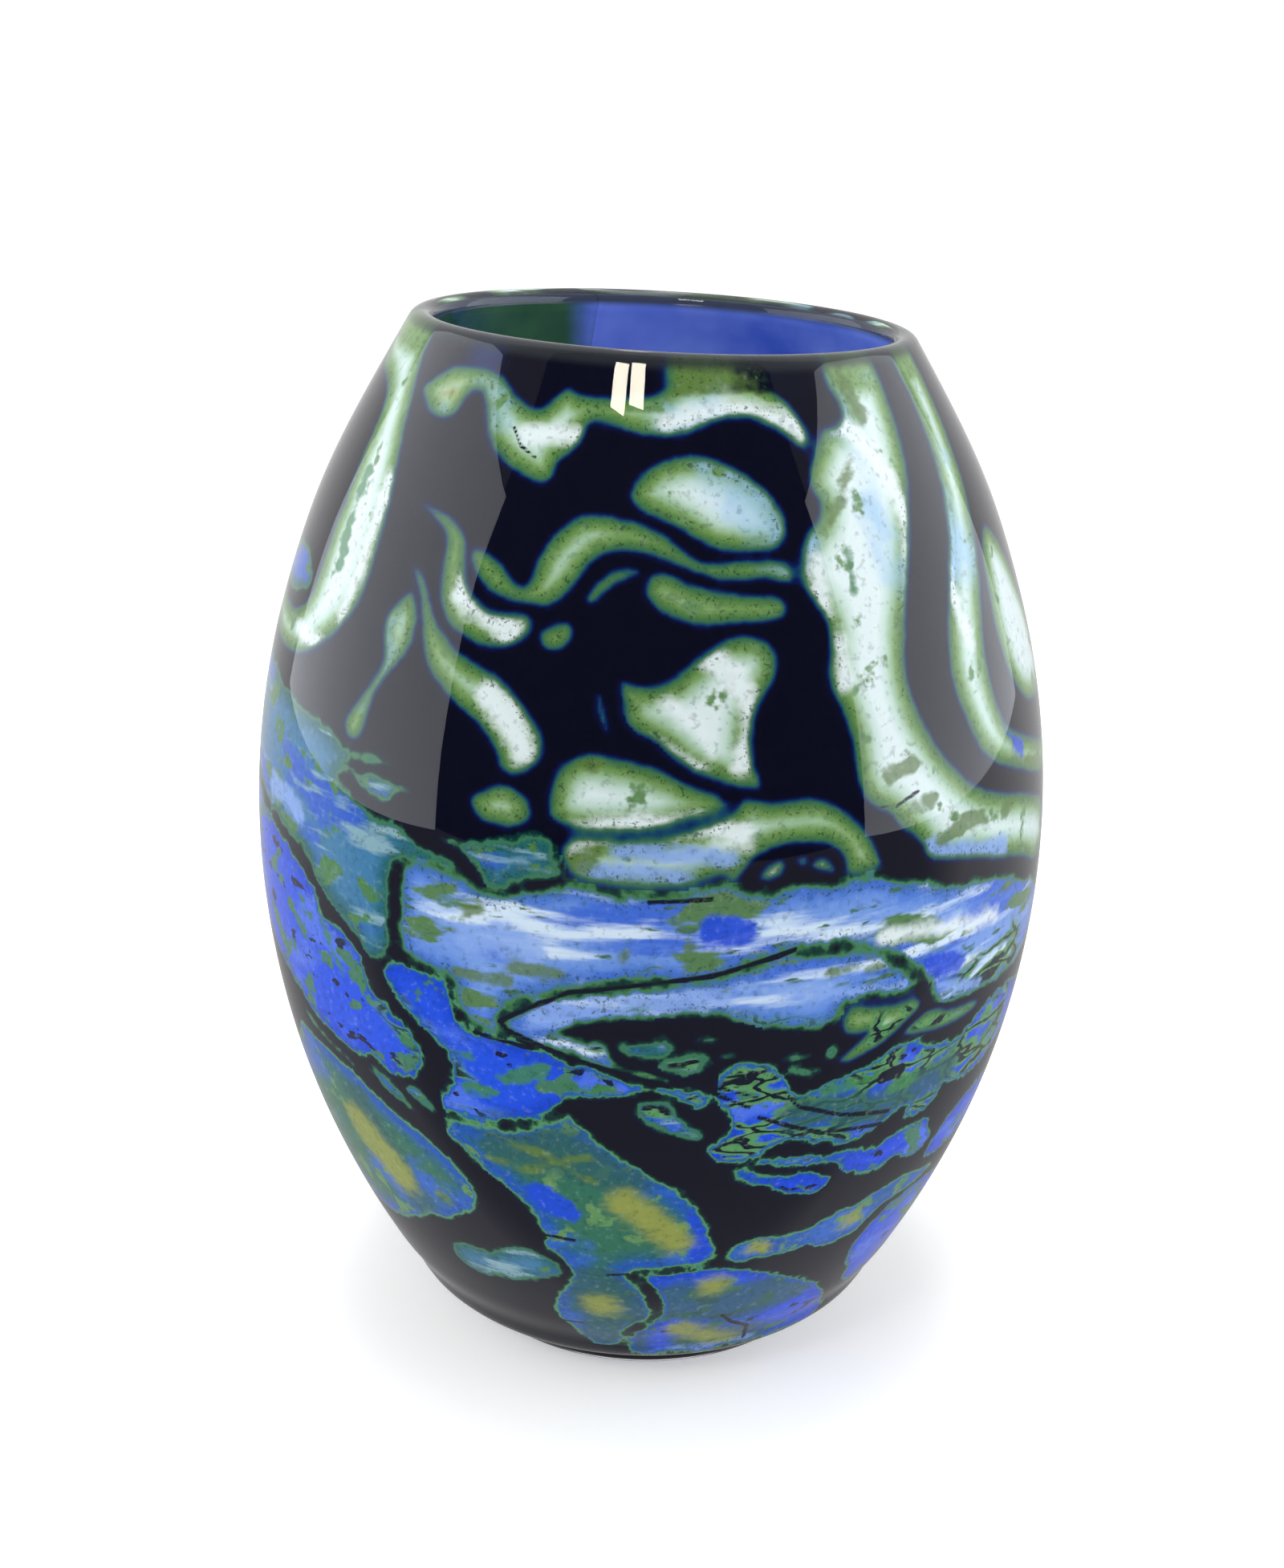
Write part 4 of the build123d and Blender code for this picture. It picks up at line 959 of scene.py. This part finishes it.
def flat_panel(name, centre, facing, width, height, material, shown=False):
    """A rectangle that faces a point. It lights and is reflected, and the camera may see it."""
    mesh = bpy.data.meshes.new(name)
    x, y = width / 2, height / 2
    mesh.from_pydata([(-x, -y, 0), (x, -y, 0), (x, y, 0), (-x, y, 0)], [], [(0, 1, 2, 3)])
    panel = bpy.data.objects.new(name, mesh)
    panel.location = centre
    panel.rotation_euler = (Vector(facing) - Vector(centre)).to_track_quat("Z", "Y").to_euler()
    mesh.materials.append(material)
    bpy.context.scene.collection.objects.link(panel)
    panel.visible_camera = shown
    return panel


def soft_light(name, centre, target, size, power):
    """A square area light that isn't seen in the glass."""
    light = bpy.data.lights.new(name, "AREA")
    light.energy = power
    light.size = size
    lamp = bpy.data.objects.new(name, light)
    lamp.location = centre
    lamp.rotation_euler = (Vector(target) - Vector(centre)).to_track_quat("-Z", "Y").to_euler()
    lamp.visible_glossy = False
    lamp.visible_transmission = False
    bpy.context.scene.collection.objects.link(lamp)


MIDDLE = (0, 0, 0.15)    # where the lamps and windows point
DARK_ROOM = (0.006, 0.006, 0.009, 1)


def daylight():
    """White light from all round, weaker from the front and from below in the glass's reflections."""
    world = bpy.data.worlds.new("room")
    bpy.context.scene.world = world
    world.use_nodes = True
    tree = world.node_tree
    path = new_node(tree.nodes, "ShaderNodeLightPath")
    strength = calculate(tree, "MULTIPLY_ADD", path.outputs["Is Camera Ray"], 0.25, 0.8)
    way = new_node(tree.nodes, "ShaderNodeSeparateXYZ")
    tree.links.new(new_node(tree.nodes, "ShaderNodeTexCoord").outputs["Generated"], way.inputs[0])
    below = calculate(tree, "MULTIPLY", step_up(tree, way.outputs["Z"], -0.1, -0.6), 0.7)
    ahead = calculate(tree, "MAXIMUM", step_up(tree, way.outputs["Y"], 0.3, -0.2), below)
    darker = calculate(tree, "MULTIPLY", ahead, -0.6)
    darker = calculate(tree, "MULTIPLY", darker, path.outputs["Is Glossy Ray"])
    strength = calculate(tree, "ADD", darker, strength)
    tree.nodes["Background"].inputs["Color"].default_value = (1, 1, 1, 1)
    tree.links.new(strength, tree.nodes["Background"].inputs["Strength"])


def panels():
    """A white floor, a dark room in front, a light tent at the sides and a window of two panes."""
    white = plain_material("paper", (0.93, 0.93, 0.935, 1), 0.34)
    floor = flat_panel("floor", (0, 0, -0.0004), (0, 0, 1), 14, 14, white, True)
    floor.rotation_euler = (0, 0, 0)
    floor.visible_glossy = False
    dark = plain_material("dark_room", DARK_ROOM)
    glow = plain_material("tent", (0.8, 0.8, 0.8, 1), 0.95, (0.84, 0.9, 1.0, 1))
    window = plain_material("window", (0.8, 0.8, 0.8, 1), 24.0, (1.0, 0.93, 0.76, 1))
    for turn, wide in ((-38, 0.86), (0, 0.7), (38, 0.86)):
        x, y = 1.1 * math.sin(math.radians(turn)), -1.1 * math.cos(math.radians(turn))
        flat_panel(f"room_{turn + 90}", (x, y, 1.25), (0, 0, 1.25), wide, 2.5, dark)
    for name, side in (("tent_left", -1), ("tent_right", 1)):
        flat_panel(name, (side * 0.95, 0.05, 0.5), (0, 0.05, 0.5), 1.3, 1.0, glow)
    flat_panel("window_left", (-0.256, -0.720, 1.208), MIDDLE, 0.100, 0.100, window)
    flat_panel("window_right", (-0.135, -0.736, 1.222), MIDDLE, 0.100, 0.105, window)


def lamps():
    """Soft lamps that brighten the colours and throw faint shadows."""
    soft_light("key", (-0.7, -0.9, 1.3), MIDDLE, 0.7, 5.0)
    soft_light("fill", (0.8, -0.8, 0.9), MIDDLE, 0.7, 3.0)
    soft_light("front", (0.0, -1.0, 0.45), MIDDLE, 0.5, 2.0)
    soft_light("above", (0.0, 0.1, 1.3), MIDDLE, 0.6, 9.0)


# The camera's distance in front of the vase and its height, its angles, and the width of its view.
CAMERA_BACK, CAMERA_UP = 451.84 * MM, 309.76 * MM
PITCH, ROLL, YAW = math.radians(20.911), math.radians(0.839), math.radians(-0.276)
VIEW_WIDTH = math.radians(36.87)
IMAGE_WIDTH, IMAGE_HEIGHT = 1600, 1954


def camera():
    """The camera, looking down at the vase from the front."""
    ahead = Vector((math.sin(YAW) * math.cos(PITCH), math.cos(YAW) * math.cos(PITCH), -math.sin(PITCH)))
    level = Vector((math.cos(YAW), -math.sin(YAW), 0))
    above = level.cross(ahead)
    right = level * math.cos(ROLL) + above * math.sin(ROLL)
    up = above * math.cos(ROLL) - level * math.sin(ROLL)
    place_at = Vector((0, -CAMERA_BACK, CAMERA_UP))
    data = bpy.data.cameras.new("camera")
    data.sensor_width = 36
    data.lens = 36 / (2 * math.tan(VIEW_WIDTH / 2)) * IMAGE_WIDTH / IMAGE_HEIGHT
    data.clip_start, data.clip_end = 0.02, 50
    seen = bpy.data.objects.new("camera", data)
    rows = [(right[i], up[i], -ahead[i], place_at[i]) for i in range(3)] + [(0, 0, 0, 1)]
    seen.matrix_world = Matrix(rows)
    bpy.context.scene.collection.objects.link(seen)
    bpy.context.scene.camera = seen


# ---------------------------------------------------------------- the vase


def slot_of(node):
    """The record's material slot of a CAD node."""
    for part in frame["record"]["subparts"]:
        if part["node"] == node:
            return part["material_slot"]


def finished(piece, node, material):
    """Gives a piece its material, hangs it under the root body and hides the CAD node that it stands in
    for.
    """
    piece.data.materials.append(material)
    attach(piece, "root")
    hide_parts(node)


def vase():
    """Every visible piece of the vase."""
    finished(clear_casing(), "clear_casing", clear_material())
    green = lining("inside_green", GREEN_FROM, GREEN_TO)
    blue = lining("inside_blue", GREEN_TO, GREEN_FROM + 360)
    finished(green, "lining_green", lining_material("green_glass"))
    finished(blue, "lining_blue", lining_material("blue_glass"))
    skins = {name: skin_material(name) for name in RAMPS}
    for node, piece in skin_pieces().items():
        finished(piece, node, skins[slot_of(node)])


camera()
daylight()
panels()
lamps()
vase()
view = bpy.context.scene.view_settings
view.view_transform = "Standard"
